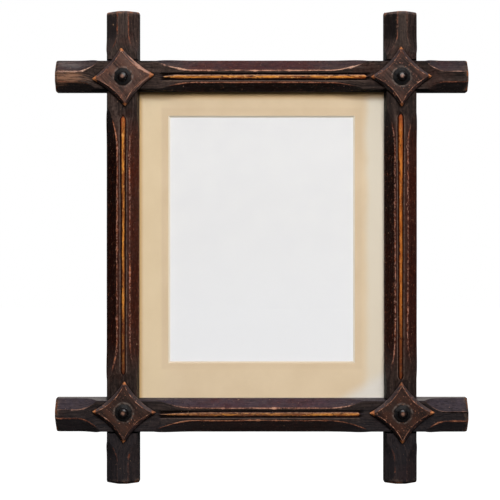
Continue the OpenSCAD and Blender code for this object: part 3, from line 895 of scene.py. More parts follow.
def old_brass(tints):
    """Brass dulled by handling, browner in patches."""
    tree, shader = new_material("old_brass")
    place, _ = place_and_normal(tree)
    cloud = noise(place, 240.0, 5.0, 0.65)
    spots = noise(place, 1400.0, 3.0, 0.6)
    dull = most(step(cloud, 0.42, 0.68), step(spots, 0.62, 0.74))
    looks = {
        "Base Color": blend(0.8 * dull, tints.brass, tints.tarnish),
        "Roughness": between(dull, 0.3, 0.62),
        "Metallic": between(dull, 1.0, 0.75),
        "Normal": relief(spots, 0.2, 0.00008),
    }
    dress(shader, looks)


def finishes():
    """Every material by its slot's name, made once."""
    if "dark_oak" not in FINISHES:
        make_grain()
        make_wear()
        make_dust_sheen_and_shade()
        tints = bpy.context.scene.oxford_colours
        for make in (dark_oak, star_wood, black_stud, mount_card, pine_board, old_brass):
            make(tints)
        window_glass()
        # The sheet's lower tone is painted light that makes up for the lamp's light falling off towards the
        # bottom.
        sheet_other, sheet_lower_fill = paint(235, 234, 234), paint(243, 243, 244)
        plain_card("pale_sheet", tints.sheet, sheet_other, sheet_lower_fill, 60.0, 0.05)
        plain_card("grey_card", tints.card, paint(134, 116, 92), tints.card, 40.0, 0.2)
    return FINISHES


# Making pieces


def new_piece(mesh, slot, body, *nodes):
    """A finished piece at the origin that takes the place of CAD nodes and rides on their body."""
    piece = bpy.data.objects.new(mesh.name, mesh)
    bpy.context.scene.collection.objects.link(piece)
    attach(piece, body)
    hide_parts(*nodes)
    return piece


def tidy_shell(mesh, sharp):
    """Merges doubles, turns every face outwards and keeps edges over the angle sharp crisp."""
    work = bmesh.new()
    work.from_mesh(mesh)
    bmesh.ops.remove_doubles(work, verts=work.verts, dist=1e-6)
    bmesh.ops.recalc_face_normals(work, faces=work.faces)
    work.to_mesh(mesh)
    work.free()
    mesh.shade_smooth()
    mesh.set_sharp_from_angle(angle=math.radians(sharp))
    mesh.update()


def grown(name, tree, points, values, sharp):
    """The mesh that a Geometry Nodes tree makes from points, with the modifier's inputs set by identifier."""
    start = bpy.data.meshes.new(name + "_points")
    start.from_pydata(points, [], [])
    carrier = bpy.data.objects.new(name + "_carrier", start)
    bpy.context.scene.collection.objects.link(carrier)
    modifier = carrier.modifiers.new(tree.name, "NODES")
    modifier.node_group = tree
    for item in tree.interface.items_tree:
        if item.item_type == "SOCKET" and item.in_out == "INPUT" and item.name in values:
            modifier[item.identifier] = values[item.name]
    evaluated = carrier.evaluated_get(bpy.context.evaluated_depsgraph_get())
    mesh = bpy.data.meshes.new_from_object(evaluated)
    carrier.modifiers.remove(modifier)
    bpy.data.objects.remove(carrier)
    bpy.data.meshes.remove(start)
    if not mesh.polygons:
        raise RuntimeError(f"{tree.name} made no faces for {name}")
    mesh.name = name
    tidy_shell(mesh, sharp)
    return mesh


def repaint(node, slot):
    """Gives a CAD node that stays as it is its finished material."""
    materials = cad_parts[node].data.materials
    materials.clear()
    materials.append(finishes()[slot])


# Members


def stray(u, seed, pitch):
    """A smooth random line along u, from -1 to 1, whose bends are about pitch long."""
    knots = np.random.default_rng(seed).uniform(-1, 1, 2048)
    x = u / pitch + 1024
    low = np.floor(x).astype(int)
    t = x - low
    t = t * t * (3 - 2 * t)
    return knots[low] * (1 - t) + knots[low + 1] * t


def hand_line(u, seed):
    """The stray of a line that was cut by hand: long bends with shorter ones on them."""
    return 0.55 * stray(u, seed, 0.031) + 0.3 * stray(u, seed + 1, 0.009) + 0.15 * stray(u, seed + 2, 0.0025)


def chips(u, seed, count):
    """Chips knocked out of an edge, as a depth along u."""
    random = np.random.default_rng(seed)
    depth = np.zeros_like(u)
    for _ in range(count):
        middle, size = random.uniform(u.min(), u.max()), random.uniform(0.0006, 0.0018)
        depth += random.uniform(0.0003, 0.0011) * np.exp(-(((u - middle) / size) ** 2))
    return depth


def ease(value, low, high):
    """A smooth step from 0 at low to 1 at high."""
    t = np.clip((value - low) / (high - low), 0, 1)
    return t * t * (3 - 2 * t)


class Member:
    """One rail or stile, placed by the CAD boxes. u runs along it, v from the sight opening outwards."""

    def __init__(self, node, sizes):
        self.node, self.sizes = node, sizes
        low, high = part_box(node)
        stile, top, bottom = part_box("stile_right"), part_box("rail_top"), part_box("rail_bottom")
        self.thick = -low.y
        self.is_rail = node.startswith("rail")
        side = node.split("_")[1]
        self.stops = getattr(sizes, "bead_" + side)
        self.horns = getattr(sizes, "horns_" + side)
        if self.is_rail:
            self.width = high.z - low.z
            self.half = stile[0].x
            self.crossings = (stile[1].x - stile[0].x,) * 2
            self.ends = (low.x, high.x)
            self.edge = top[0].z if side == "top" else bottom[1].z
            self.horn_stops = (sizes.horn_stop, sizes.horn_stop)
            self.bead_w, self.groove_w = sizes.rail_bead, sizes.rail_groove
        else:
            self.width = high.x - low.x
            self.half = top[0].z
            self.crossings = (top[1].z - top[0].z, bottom[1].z - bottom[0].z)
            self.ends = (-high.z, -low.z)
            self.edge = stile[0].x if side == "right" else -stile[0].x
            self.horn_stops = (sizes.top_horn_stop, sizes.horn_stop)
            self.bead_w, self.groove_w = sizes.stile_bead, sizes.stile_groove
        which = MEMBERS.index(node)
        self.wear = (sizes.wear_inner[which], sizes.wear_outer[which])
        self.chamfers = (sizes.inner_chamfers[which], sizes.outer_chamfers[which])
        self.bead_middle = sizes.bead_middles[which]
        self.seed = sizes.seed * 1000 + 100 * which

    def sections(self):
        """Places along the member and what is cut there, with a pair of sections at each shoulder."""
        s = self.sizes
        rebate_end = self.half - s.lap_clear if self.is_rail else self.half + s.rebate_w
        laps = [(self.half - s.lap_clear, self.half + width + s.lap_clear) for width in self.crossings]
        edges = {self.ends[0], self.ends[1], -rebate_end, rebate_end}
        edges |= {-laps[0][0], -laps[0][1], laps[1][0], laps[1][1]}
        edges = sorted(edges)
        by_end = np.array([0.25, 0.6, 1.0, 1.4, 1.9, 2.4, 2.8, 3.3]) * 0.001
        past_end = 0.0036
        u, lapped, rebated = [], [], []
        for a, b in zip(edges, edges[1:]):
            run = np.linspace(a, b, max(2, math.ceil((b - a) / s.pitch)) + 1)
            if a == self.ends[0]:
                run = np.concatenate([[a], a + by_end, run[run > a + past_end]])
            if b == self.ends[1]:
                run = np.concatenate([run[run < b - past_end], b - by_end[::-1], [b]])
            middle = (a + b) / 2
            lap = laps[0] if middle < 0 else laps[1]
            u.append(run)
            lapped.append(np.full(len(run), lap[0] < abs(middle) < lap[1]))
            rebated.append(np.full(len(run), abs(middle) < rebate_end))
        return np.concatenate(u), np.concatenate(lapped), np.concatenate(rebated)

    def chamfer(self, u, full, horns):
        """Width of the chamfer along u: full in the span, none at the crossings, then each horn's own."""
        s, root = self.sizes, math.sqrt(2)

        def scooped(width, run, radius):
            run = np.clip(run, 0, radius)
            return np.clip(width - root * (radius - np.sqrt(radius**2 - run**2)), 0, None)

        span = scooped(full, np.abs(u) - (self.half - s.span_stop), s.span_scoop)
        start = self.half + np.where(u < 0, *self.crossings) + np.where(u < 0, *self.horn_stops)
        horn = scooped(np.where(u < 0, *horns), start - np.abs(u), s.horn_scoop)
        return np.where(np.abs(u) < self.half, span, horn)

    def arrises(self, u, k, at_tip, front, side):
        """The inner (k = 0) or outer (k = 1) chamfer along u, and how its lower and upper arris are worn."""
        s, seed = self.sizes, self.seed + 10 * k
        least_chamfer, least_land, beside_groove = 0.0005, 0.0003, 0.0006
        to_bead = (self.bead_middle, self.width - self.bead_middle)[k]
        room = to_bead - (self.bead_w / 2 + self.groove_w + beside_groove) - self.chamfers[k]
        wide = self.chamfer(u, self.chamfers[k], (self.horns[k], self.horns[k + 2]))
        wide = wide + s.unevenness * hand_line(u, seed + 1) * (wide > 0)
        wide = np.maximum(wide, least_chamfer + 0.0002 * hand_line(u, seed + 4))
        low_worn = s.worn_edge * (0.5 + 0.2 * hand_line(u, seed + 5) + 0.6 * at_tip)
        low_worn = np.minimum(low_worn + 0.5 * chips(u, self.seed + 40 + k, 5), wide * 0.35)
        low_worn = low_worn * (1.0, 0.35)[k]
        top_worn = s.worn_edge * (1.5 + hand_line(u, seed + 7) + 1.5 * at_tip)
        top_worn = top_worn + chips(u, self.seed + 50 + k, 22)
        top_worn = np.minimum(top_worn, np.minimum(wide * 0.4, room - least_land))
        share = self.wear[k] * np.where(np.abs(u) < self.half, 1.0, 0.65)
        narrow, broad = (0.0005, 0.0065) if self.is_rail else (0.0035, 0.0068)
        lively = 0.8 + 0.4 * hand_line(u, self.seed + 70 + 4 * k)
        lively = lively * ease(wide, narrow, broad) * share
        return wide, front, side, low_worn, top_worn, lively, room

    def outline(self, u, lapped, rebated):
        """Every section's outline as (v, depth from the front), and the marks that colour it."""
        s, w, t, n = self.sizes, self.width, self.thick, len(u)
        end = np.minimum(u - self.ends[0], self.ends[1] - u)
        end_crumble, tip_reach, span_from, span_full = 0.0003, 0.004, 0.012, 0.055
        crumble = end_crumble * (end < 1e-6)
        front = np.clip(s.front_bevel - end, 0, None) + crumble
        side = np.clip(s.side_bevel - end, 0, None) + crumble
        at_tip = np.exp(-end / tip_reach)
        in_span = ease(self.half - np.abs(u), span_from, span_full)
        points, carving, zones = [], [], []

        def spot(v, y, arris=0.0, bead=0.0, groove=0.0, rub=0.0, slope=0.0):
            points.append((v * np.ones(n), y * np.ones(n)))
            carving.append([m * np.ones(n) for m in (arris, bead, groove, rub)])
            zones.append([m * np.ones(n) for m in (in_span, slope, at_tip, float(self.is_rail))])

        inner, outer = (self.arrises(u, k, at_tip, front, side) for k in (0, 1))
        middle = self.bead_middle + 0.4 * s.unevenness * hand_line(u, self.seed + 60)
        self.chamfer_side(spot, t / 2, inner, lambda v: v)
        self.bead_and_grooves(spot, u, middle, front)
        self.chamfer_side(spot, t / 2, outer, lambda v: w - v, back=True)
        front_points = slice(1, len(points) - 1)
        back_points = slice(len(points), None)
        self.back_face(spot, lapped, rebated, side, t - crumble)

        outline = np.array(points).transpose(2, 0, 1)
        outline[lapped, back_points if self.is_rail else front_points, 1] = t / 2
        return outline, np.array(carving).transpose(2, 0, 1), np.array(zones).transpose(2, 0, 1)

    def chamfer_side(self, spot, lap, lines, mirror, back=False):
        """One chamfer's points, from the member's side up to its land, or back from the land to the side."""
        wide, front, side, low_worn, top_worn, lively, room = lines
        strip, below_arris, past_wear = 0.0012, 0.002, 0.0003
        lean_reach, upright_from = 0.008, 0.0075
        wide = wide + math.sqrt(2) * front
        low = np.array([side, wide - side])
        top = np.array([wide - front, front])
        way = (top - low) / np.maximum(np.hypot(*(top - low)), 1e-9)
        face = np.minimum(strip, 0.3 * np.hypot(*(top - low)))
        inward, upward = np.array([[0.92], [0.38]]), np.array([[0.38], [0.92]])
        run = [
            ((side, np.maximum(lap, low[1] + below_arris)), dict(arris=0.3 * lively)),
            ((low[0], low[1] + low_worn), dict(arris=0.25 * lively)),
            (low + 0.2 * low_worn * inward, dict(arris=0.55 * lively, slope=0.5)),
            (low + low_worn * way, dict(arris=0.2 * lively, slope=1.0)),
            (low + (low_worn + face) * way, dict(slope=1.0)),
            ((low + top) / 2, dict(slope=1.0)),
            (top - (top_worn + face) * way, dict(slope=1.0)),
            (top - (top_worn + 0.2 * face) * way, dict(slope=1.0, arris=0.1 * lively)),
            (top - top_worn * way, dict(slope=0.8, arris=0.5 * lively)),
            (top + 0.2 * top_worn * upward, dict(arris=lively, slope=0.4)),
            ((top[0] + top_worn, top[1]), dict(arris=0.5 * lively)),
            ((top[0] + np.minimum(top_worn + past_wear, room), top[1]), dict()),
        ]
        fade = np.clip(1 - wide / upright_from, 0, 1)
        for (v, y), marks in reversed(run) if back else run:
            lean = self.sizes.lean * np.clip(lean_reach - y, 0, None) * fade
            spot(mirror(v + lean), y, **marks)

    def bead_ends(self, u):
        """How the bead and its grooves run out at their stops, as (spread, cut, taper, reach)."""
        s = self.sizes
        reach = np.where(u < 0, u + self.half - self.stops[0], self.half - self.stops[1] - u)
        full, closed = (self.bead_w + self.groove_w) / 2, self.groove_w / 2 + 0.00004
        if self.is_rail:
            spread = np.maximum(full * ease(reach, -0.012, -0.005), closed)
            pointed = 0.012 if self.node == "rail_top" else 0.03
            taper = np.clip(reach / np.where(u < 0, pointed, 0.002), 0.12, 1) ** 0.7
            return spread, ease(reach, -0.0045, 0.001), taper, reach
        full = full * (1 + s.bead_swell * ease(-u, 0.03, 0.09))
        closing = np.clip(reach / 0.0035, 0, 1)
        spread = np.maximum(full * np.sqrt(1 - (1 - closing) ** 2), closed)
        return spread, ease(reach, -0.0016, 0.0006), 1.0, reach

    def bead_and_grooves(self, spot, u, middle, front):
        """The land's points: the bead, a groove on either side of it, and the worn lines beside them."""
        s, seed = self.sizes, self.seed
        spread, cut, taper, reach = self.bead_ends(u)
        deep = front + s.groove_d * cut * (0.92 + 0.08 * hand_line(u, seed + 63))
        half_bead = np.maximum(spread - 0.35 * self.groove_w, 0.00003) * taper
        half_bead = half_bead * (0.9 + 0.12 * hand_line(u, seed + 64))
        lumps = 0.5 * stray(u, seed + 67, 0.0045) + 0.5 * stray(u, seed + 68, 0.0016)
        crown = front + cut * (0.00012 + 0.00012 * lumps)
        crown = crown + 0.0004 * cut * np.clip(hand_line(u, seed + 66) - 0.3, 0, None)
        in_bead = ease(reach + 0.001 * hand_line(u, seed + 65), -0.001, 0.002)
        edge = cut * ease(reach, -0.004, 0.0015)
        most_rubbed = {"rail_top": -1, "rail_bottom": 1}.get(self.node, 0)
        for sign in (-1, 1):
            if self.is_rail:
                rubbed = in_bead * (0.8 if sign == most_rubbed else 0.15)
            else:
                rubbed = in_bead * (0.9 + 0.3 * hand_line(u, seed + 69))
            brink = middle + sign * (spread + self.groove_w / 2)
            flank, shoulder = middle + sign * half_bead, middle + sign * 0.85 * half_bead
            land = [
                (brink + sign * 0.0006, front, dict(rub=0.15 * rubbed)),
                (brink + sign * 0.0002, front, dict(rub=rubbed)),
                (brink - sign * 0.0002, front + 0.00025 * cut, dict(rub=0.5 * rubbed, groove=0.4 * edge)),
                (middle + sign * (spread + 0.00005), deep, dict(groove=edge)),
                (flank + sign * 0.0003, deep, dict(groove=edge)),
                (flank, front + 0.0008 * cut, dict(bead=0.1 * in_bead, groove=0.5 * edge)),
                (shoulder, crown + 0.0004 * cut, dict(bead=0.32 * in_bead, groove=0.1 * edge)),
                (middle + sign * 0.5 * half_bead, crown + 0.00012 * cut, dict(bead=0.78 * in_bead)),
            ]
            for v, y, marks in land if sign < 0 else reversed(land):
                spot(v, y, **marks)
            if sign < 0:
                spot(middle, crown, bead=in_bead)

    def back_face(self, spot, lapped, rebated, side, rear):
        """The points of the back, from the outer side over the wall face and into the rebate."""
        s, w = self.sizes, self.width
        eased = 0.0004
        spot(w - side, rear - eased, arris=0.3)
        spot(w - side - eased, rear, arris=0.3)
        for share in (0.15, 0.35, 0.55, 0.75, 0.95):
            spot(w - side - eased - share * (w - s.rebate_w - 0.002), rear)
        ledge = self.thick - s.rebate_d
        spot(np.where(lapped, s.rebate_w + 0.001, s.rebate_w), rear)
        spot(np.where(rebated | lapped, s.rebate_w, side + eased), np.where(rebated, ledge, rear))
        spot(np.where(rebated | lapped, s.rebate_w / 2, side), np.where(rebated, ledge, rear - eased))
        spot(side, ledge)

    def place(self, u, v, y):
        """A point of the member in the frame's own coordinates."""
        if self.is_rail:
            return np.stack([u, y, self.edge + np.sign(self.edge) * v], -1)
        return np.stack([self.edge + np.sign(self.edge) * v, y, -u], -1)

    def mesh(self):
        """The member's closed shell, drawn through its sections."""
        u, lapped, rebated = self.sections()
        outline, carving, zones = self.outline(u, lapped, rebated)
        rows, across = outline.shape[:2]
        along = np.repeat(u[:, None], across, 1)
        from_end = np.minimum(along - self.ends[0], self.ends[1] - along)
        end_lean, lean_depth, lean_reach = 0.03, 0.009, 0.006
        pulled = end_lean * np.clip(lean_depth - outline[:, :, 1], 0, None)
        pulled = pulled * np.clip(1 - from_end / lean_reach, 0, 1)
        along = along - np.sign(along) * pulled
        spots = self.place(along, outline[:, :, 0], outline[:, :, 1] - self.thick)
        index = np.arange(rows * across).reshape(rows, across)
        follow = np.roll(index, -1, 1)
        quads = np.stack([index[:-1], follow[:-1], follow[1:], index[1:]], -1).reshape(-1, 4)
        faces = quads.tolist() + [index[0].tolist(), index[-1].tolist()]
        mesh = bpy.data.meshes.new(self.node + "_carved")
        mesh.from_pydata(spots.reshape(-1, 3).tolist(), [], faces)
        self.unroll(mesh, u, outline)
        for name, values in (("carving", carving), ("zones", zones)):
            marks = mesh.attributes.new(name, "FLOAT_COLOR", "POINT")
            marks.data.foreach_set("color", values.astype(np.float32).ravel())
        tidy_shell(mesh, sharp=38)
        mesh.materials.append(finishes()["dark_oak"])
        return mesh

    def unroll(self, mesh, u, outline):
        """A UV map in metres, along the member and round it, for the grain to follow."""
        rows, across = outline.shape[:2]
        girth = np.hypot(*np.diff(np.concatenate([outline, outline[:, :1]], 1), axis=1).transpose(2, 0, 1))
        girth = np.concatenate([np.zeros((rows, 1)), np.cumsum(girth, 1)], 1)
        shift = 0.37 * (self.seed % 1000)
        uv = np.stack([np.repeat(u[:, None], across + 1, 1) + shift, girth + shift], -1)
        corner = np.stack([uv[:-1, :-1], uv[:-1, 1:], uv[1:, 1:], uv[1:, :-1]], 2).reshape(-1, 2)
        caps = [np.stack([outline[k, :, 0] * 0.2 + shift, outline[k, :, 1]], -1) for k in (0, -1)]
        layer = mesh.uv_layers.new(name="along")
        layer.data.foreach_set("uv", np.concatenate([corner, *caps]).astype(np.float32).ravel())


# Geometry node trees


def geometry_group(name, sizes, more):
    """An empty tree that takes points, lengths, more and a material, as group gives it."""
    inputs = {"Geometry": "NodeSocketGeometry", **dict.fromkeys(sizes, 0.01), **more}
    inputs["Material"] = "NodeSocketMaterial"
    return group(name, "GeometryNodeTree", inputs, {"Geometry": "NodeSocketGeometry"})


def close_tree(size, out, shape):
    """Ends a geometry tree and gives it: instances realised, material set."""
    solid = made(shape.tree, "GeometryNodeRealizeInstances", {0: shape})
    inputs = {"Geometry": solid, "Material": size["Material"]}
    feed(out["Geometry"], made(shape.tree, "GeometryNodeSetMaterial", inputs))
    return shape.tree


def wrapped_grid(size, around, rings):
    """A unit grid to be wrapped round an axis, with how far round and which ring each point is, 0 to 1."""
    tree = size["Geometry"].tree
    inputs = {"Size X": 1.0, "Size Y": 1.0, "Vertices X": around + 1, "Vertices Y": rings + 1}
    x, y, _ = parts_of(made(tree, "GeometryNodeInputPosition"))
    return made(tree, "GeometryNodeMeshGrid", inputs), x + 0.5, y + 0.5


def wrapped(grid, spot):
    """The grid with every point at its place, and its seam and poles closed."""
    bent = made(grid.tree, "GeometryNodeSetPosition", {"Geometry": grid, "Position": spot})
    return made(grid.tree, "GeometryNodeMergeByDistance", {"Geometry": bent, "Distance": 2e-6})


def round_axis(turn, radius):
    """The two sides of a point at radius from an axis, turn of the way round it."""
    angle = turn * (2 * math.pi)
    return radius * calc("COSINE", angle), radius * calc("SINE", angle)


def keep_marks(shape, red, green, blue):
    """Stores three masks on the points for the material to read."""
    marks = made(shape.tree, "FunctionNodeCombineColor", {0: red, 1: green, 2: blue})
    inputs = {"Geometry": shape, "Name": "carving", "Value": marks}
    kind = dict(data_type="FLOAT_COLOR", domain="POINT")
    return made(shape.tree, "GeometryNodeStoreNamedAttribute", inputs, **kind)


def moved(shape, shift, turn=None):
    """A shape shifted and turned."""
    inputs = {"Geometry": shape, "Translation": shift, "Rotation": turn}
    return made(shape.tree, "GeometryNodeTransform", inputs)


def cut_by(shape, tool):
    """A shape less what lies within another."""
    settings = dict(operation="DIFFERENCE", solver="EXACT")
    return made(shape.tree, "GeometryNodeMeshBoolean", {0: shape, 1: tool}, **settings)


def on_points(size, shape, turn):
    """The shape at each point that the tree is given."""
    inputs = {"Points": size["Geometry"], "Instance": shape, "Rotation": turn}
    return made(shape.tree, "GeometryNodeInstanceOnPoints", inputs)


def own_turn(size, low, high):
    """An angle of its own for each point."""
    inputs = {"Min": low, "Max": high, "Seed": size["Seed"]}
    return made(size["Seed"].tree, "FunctionNodeRandomValue", inputs, data_type="FLOAT")


def star_edge(size, turn):
    """The star's hollow-sided edge: its place, the way inwards, how far between tips, and the half sizes."""
    quarter = 4.0 * turn
    side = calc("FLOOR", quarter)
    share = quarter - side
    angle = side * (math.pi / 2)
    cos, sin = calc("COSINE", angle), calc("SINE", angle)
    half_x, half_z = 0.5 * size["Width"], 0.5 * size["Height"]
    tip = vector_of(half_x * cos, half_z * sin, 0.0)
    next_tip = vector_of(-(half_x * sin), half_z * cos, 0.0)
    chord = vector_calc("SUBTRACT", next_tip, tip)
    inward = vector_calc("NORMALIZE", vector_calc("CROSS_PRODUCT", (0.0, 0.0, 1.0), chord))
    bow = share * (1.0 - share) * 4.0
    edge = vector_calc("ADD", tip, scaled(chord, share))
    edge = vector_calc("ADD", edge, scaled(inward, bow * size["Hollow"]))
    limit = vector_of(half_x - size["Blunt"], half_z - size["Blunt"], 0.0)
    edge = vector_calc("MINIMUM", vector_calc("MAXIMUM", edge, scaled(limit, -1.0)), limit)
    return edge, inward, bow, half_x, half_z


def star_front(size, ring, edge, inward, bow, half_x, half_z):
    """The star's sides, bevel and flat front, as (place in its plane, depth)."""
    tip_to_tip = calc("SQRT", calc("POWER", half_x, 2.0) + calc("POWER", half_z, 2.0))
    waist = half_x * half_z / tip_to_tip - size["Hollow"]
    slope = 0.8 * size["Bevel"] / waist
    narrowing = curve(ring, (0, 0), (0.3, 0), (0.32, 0.06), (0.46, 0.9), (0.5, 1.1), (1, 1.1))
    closing = curve(ring, (0, 0), (0.1, 0.985), (0.14, 1), (0.5, 1), (1, 0))
    wall = curve(ring, (0, 0), (0.1, 0), (0.14, 0.04), (0.3, 0.97), (0.32, 1), (1, 1))
    ramp = curve(ring, (0, 0), (0.31, 0), (0.32, 0.06), (0.46, 0.92), (0.5, 1), (1, 1))
    depth = (size["Thickness"] - size["Bevel"]) * wall + size["Bevel"] * ramp
    flat = scaled(edge, (1.0 - slope * narrowing) * closing)
    deeper = bow * ramp * (0.45 * size["Bevel"]) * curve(ring, (0, 1), (0.5, 1), (1, 0))
    return vector_calc("ADD", flat, scaled(inward, deeper)), depth


def star_wear(size, ring, flat, depth, near_tip):
    """The star's points with its edges worn and chipped and its front a little uneven."""
    x, z, _ = parts_of(flat)
    spot = vector_of(x, -depth, z)
    outer = curve(ring, (0, 0), (0.12, 0.4), (0.3, 0.7), (0.46, 1), (0.54, 0.8), (0.6, 0), (1, 0))
    rough = noise(spot, 210.0, 3.0, 0.6, 0.0, size["Seed"])
    knocks = step(noise(spot, 120.0, 1.0, 0.5, 0.0, size["Seed"] + 9.0), 0.58, 0.75)
    bite = (rough + 1.6 * knocks + 0.8 * near_tip) * outer * size["Wear"]
    inward = vector_calc("NORMALIZE", vector_of(-x, 0.0, -z))
    down = vector_of(0.0, bite * step(ring, 0.4, 0.5, 0.0, 0.7), 0.0)
    spot = vector_calc("ADD", spot, scaled(inward, bite))
    spot = vector_calc("ADD", spot, down)
    hollows = noise(spot, 95.0, 2.0, 0.5, 0.0, size["Seed"])
    dip = 0.0002 * hollows * step(ring, 0.48, 0.56)
    return vector_calc("ADD", spot, vector_of(0.0, dip, 0.0))


def star_tree():
    """A four-pointed star: tips on two axes, sides hollowed between them, a bevel round the front."""
    sizes = "Width", "Height", "Thickness", "Hollow", "Bevel", "Blunt", "Wear", "Stud Radius"
    more = {"Turn": 0.0, "Centre": (0.0, 0.0, 0.0), "Seed": 1.0}
    size, out = geometry_group("Hollow star", sizes, more)
    grid, turn, ring = wrapped_grid(size, 128, 44)
    edge, inward, bow, half_x, half_z = star_edge(size, turn)
    flat, depth = star_front(size, ring, edge, inward, bow, half_x, half_z)
    away = vector_calc("LENGTH", flat)
    near_tip = step(away / calc("MINIMUM", half_x, half_z), 0.82, 0.97)
    spot = star_wear(size, ring, flat, depth, near_tip)

    base_edge = (0, 0), (0.28, 0.1), (0.32, 0.4), (0.35, 0.05), (0.44, 0.1)
    front_edge = (0.478, 0.8), (0.5, 1), (0.525, 0), (1, 0)
    ridge = curve(ring, *base_edge, *front_edge)
    worn_tip = near_tip * curve(ring, (0, 0), (0.12, 0.3), (0.3, 1), (1, 1))
    past = away - size["Stud Radius"]
    halo = step(past, -0.0004, 0.0002) * step(past, 0.0004, 0.0016, 1.0, 0.0) * step(ring, 0.5, 0.6)
    shape = wrapped(keep_marks(grid, ridge, worn_tip, halo), spot)
    spin = vector_of(0.0, -size["Turn"], 0.0)
    return close_tree(size, out, moved(shape, size["Centre"], spin))


def stud_tree():
    """A domed stud with an eight-sided, faceted flange, one at each point that it is given."""
    sizes = "Flange Radius", "Dome Radius", "Height"
    size, out = geometry_group("Domed studs", sizes, {"Seed": 3})
    grid, turn, ring = wrapped_grid(size, 64, 48)
    within = calc("FRACT", 8.0 * turn) * (math.pi / 4) - math.pi / 8
    facet = math.cos(math.pi / 8) / calc("COSINE", within)
    round_share = curve(ring, (0, 0), (0.3, 0), (0.44, 0.25), (0.55, 1), (1, 1))
    rim = curve(ring, (0, 0), (0.1, 0.97), (0.14, 1), (0.24, 1), (0.3, 0.95), (0.5, 0), (1, 0))
    dome_sides = (0, 0), (0.1, 0), (0.3, 0), (0.5, 1), (0.6, 0.985), (0.7, 0.9)
    dome_top = (0.8, 0.74), (0.9, 0.48), (0.96, 0.22), (1, 0)
    dome = curve(ring, *dome_sides, *dome_top)
    flange_rise = (0, 0), (0.1, 0), (0.14, 0.03), (0.24, 0.19), (0.3, 0.27), (0.4, 0.36), (0.5, 0.5)
    dome_rise = (0.6, 0.64), (0.7, 0.79), (0.8, 0.905), (0.9, 0.98), (0.96, 0.998), (1, 1)
    rise = curve(ring, *flange_rise, *dome_rise)
    radius = size["Flange Radius"] * rim + size["Dome Radius"] * dome
    x, z = round_axis(turn, radius * between(round_share, facet, 1.0))
    domed = curve(ring, (0, 0), (0.45, 0), (0.56, 1), (1, 1))
    # The crown mark is where the material paints the dome's highlight.
    crown = curve(ring, (0, 0), (0.9, 0), (0.985, 1), (1, 1))
    rubbed_rim = curve(ring, (0, 0), (0.1, 0.4), (0.14, 1), (0.26, 1), (0.32, 0), (1, 0))
    marked = keep_marks(grid, domed, crown, rubbed_rim)
    shape = wrapped(marked, vector_of(x, -(size["Height"] * rise), z))
    spun = vector_of(0.0, own_turn(size, 0.3, 0.5), 0.0)
    return close_tree(size, out, on_points(size, shape, spun))


def screw_tree():
    """A round slotted screw head at each point that it is given, each turned its own way."""
    sizes = "Head Radius", "Head Height", "Slot Width", "Slot Depth"
    size, out = geometry_group("Slotted screws", sizes, {"Seed": 5})
    grid, turn, ring = wrapped_grid(size, 48, 20)
    wide_rim = (0, 0), (0.2, 0.97), (0.25, 1), (0.35, 0.98), (0.5, 0.86)
    wide = curve(ring, *wide_rim, (0.65, 0.68), (0.8, 0.42), (0.9, 0.2), (1, 0))
    high_rim = (0, 0), (0.2, 0), (0.25, 0.04), (0.35, 0.22), (0.5, 0.52)
    high = curve(ring, *high_rim, (0.65, 0.76), (0.8, 0.93), (0.9, 0.985), (1, 1))
    x, y = round_axis(turn, size["Head Radius"] * wide)
    head = wrapped(grid, vector_of(x, y, size["Head Height"] * high))
    slot = vector_of(3.0 * size["Head Radius"], size["Slot Width"], 2.0 * size["Slot Depth"])
    bar = made(head.tree, "GeometryNodeMeshCube", {"Size": slot})
    bar = moved(bar, vector_of(0.0, 0.0, size["Head Height"]))
    spun = vector_of(-math.pi / 2, own_turn(size, -1.4, 1.4), 0.0)
    return close_tree(size, out, on_points(size, cut_by(head, bar), spun))


def button_tree():
    """A turn button: two round ends and the arm between them, with eased edges and a bore."""
    sizes = "Pivot Radius", "Tip Radius", "Arm", "Thickness", "Edge", "Bore Radius"
    size, out = geometry_group("Turn button", sizes, {"Facing": 0.0})
    tree, thin = size["Edge"].tree, size["Thickness"] - 2.0 * size["Edge"]
    joined = put(tree, "GeometryNodeJoinGeometry")
    pivot, tip = (0.0, 0.0, 0.0), vector_of(-size["Arm"], 0.0, 0.0)
    for radius, centre in ((size["Pivot Radius"], pivot), (size["Tip Radius"], tip)):
        for r, depth in ((radius, thin), (radius - size["Edge"], size["Thickness"])):
            disc = made(tree, "GeometryNodeMeshCylinder", {"Vertices": 48, "Radius": r, "Depth": depth})
            feed(joined.inputs[0], moved(disc, centre))
    shape = made(tree, "GeometryNodeConvexHull", {0: Flow(joined.outputs[0])})
    drill = {"Vertices": 32, "Radius": size["Bore Radius"], "Depth": 0.02}
    shape = cut_by(shape, made(tree, "GeometryNodeMeshCylinder", drill))
    spun = vector_of(-math.pi / 2, size["Facing"], 0.0)
    return close_tree(size, out, on_points(size, shape, spun))


# Operators


def centre_of(node):
    """The middle of a CAD node's box."""
    low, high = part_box(node)
    return (low + high) / 2


def carve(context, *nodes):
    """Puts a carved member in the place of each CAD one."""
    for node in nodes:
        new_piece(Member(node, context.scene.oxford_members).mesh(), "dark_oak", "frame", node)


class OXFORD_OT_rails(bpy.types.Operator):
    """Carves the top and bottom rails, which lie in front at the laps"""

    bl_idname = "oxford.rails"
    bl_label = "Rails"

    def execute(self, context):
        carve(context, "rail_top", "rail_bottom")
        return {"FINISHED"}


class OXFORD_OT_stiles(bpy.types.Operator):
    """Carves the left and right stiles, notched for the rails"""

    bl_idname = "oxford.stiles"
    bl_label = "Stiles"

    def execute(self, context):
        carve(context, "stile_left", "stile_right")
        return {"FINISHED"}


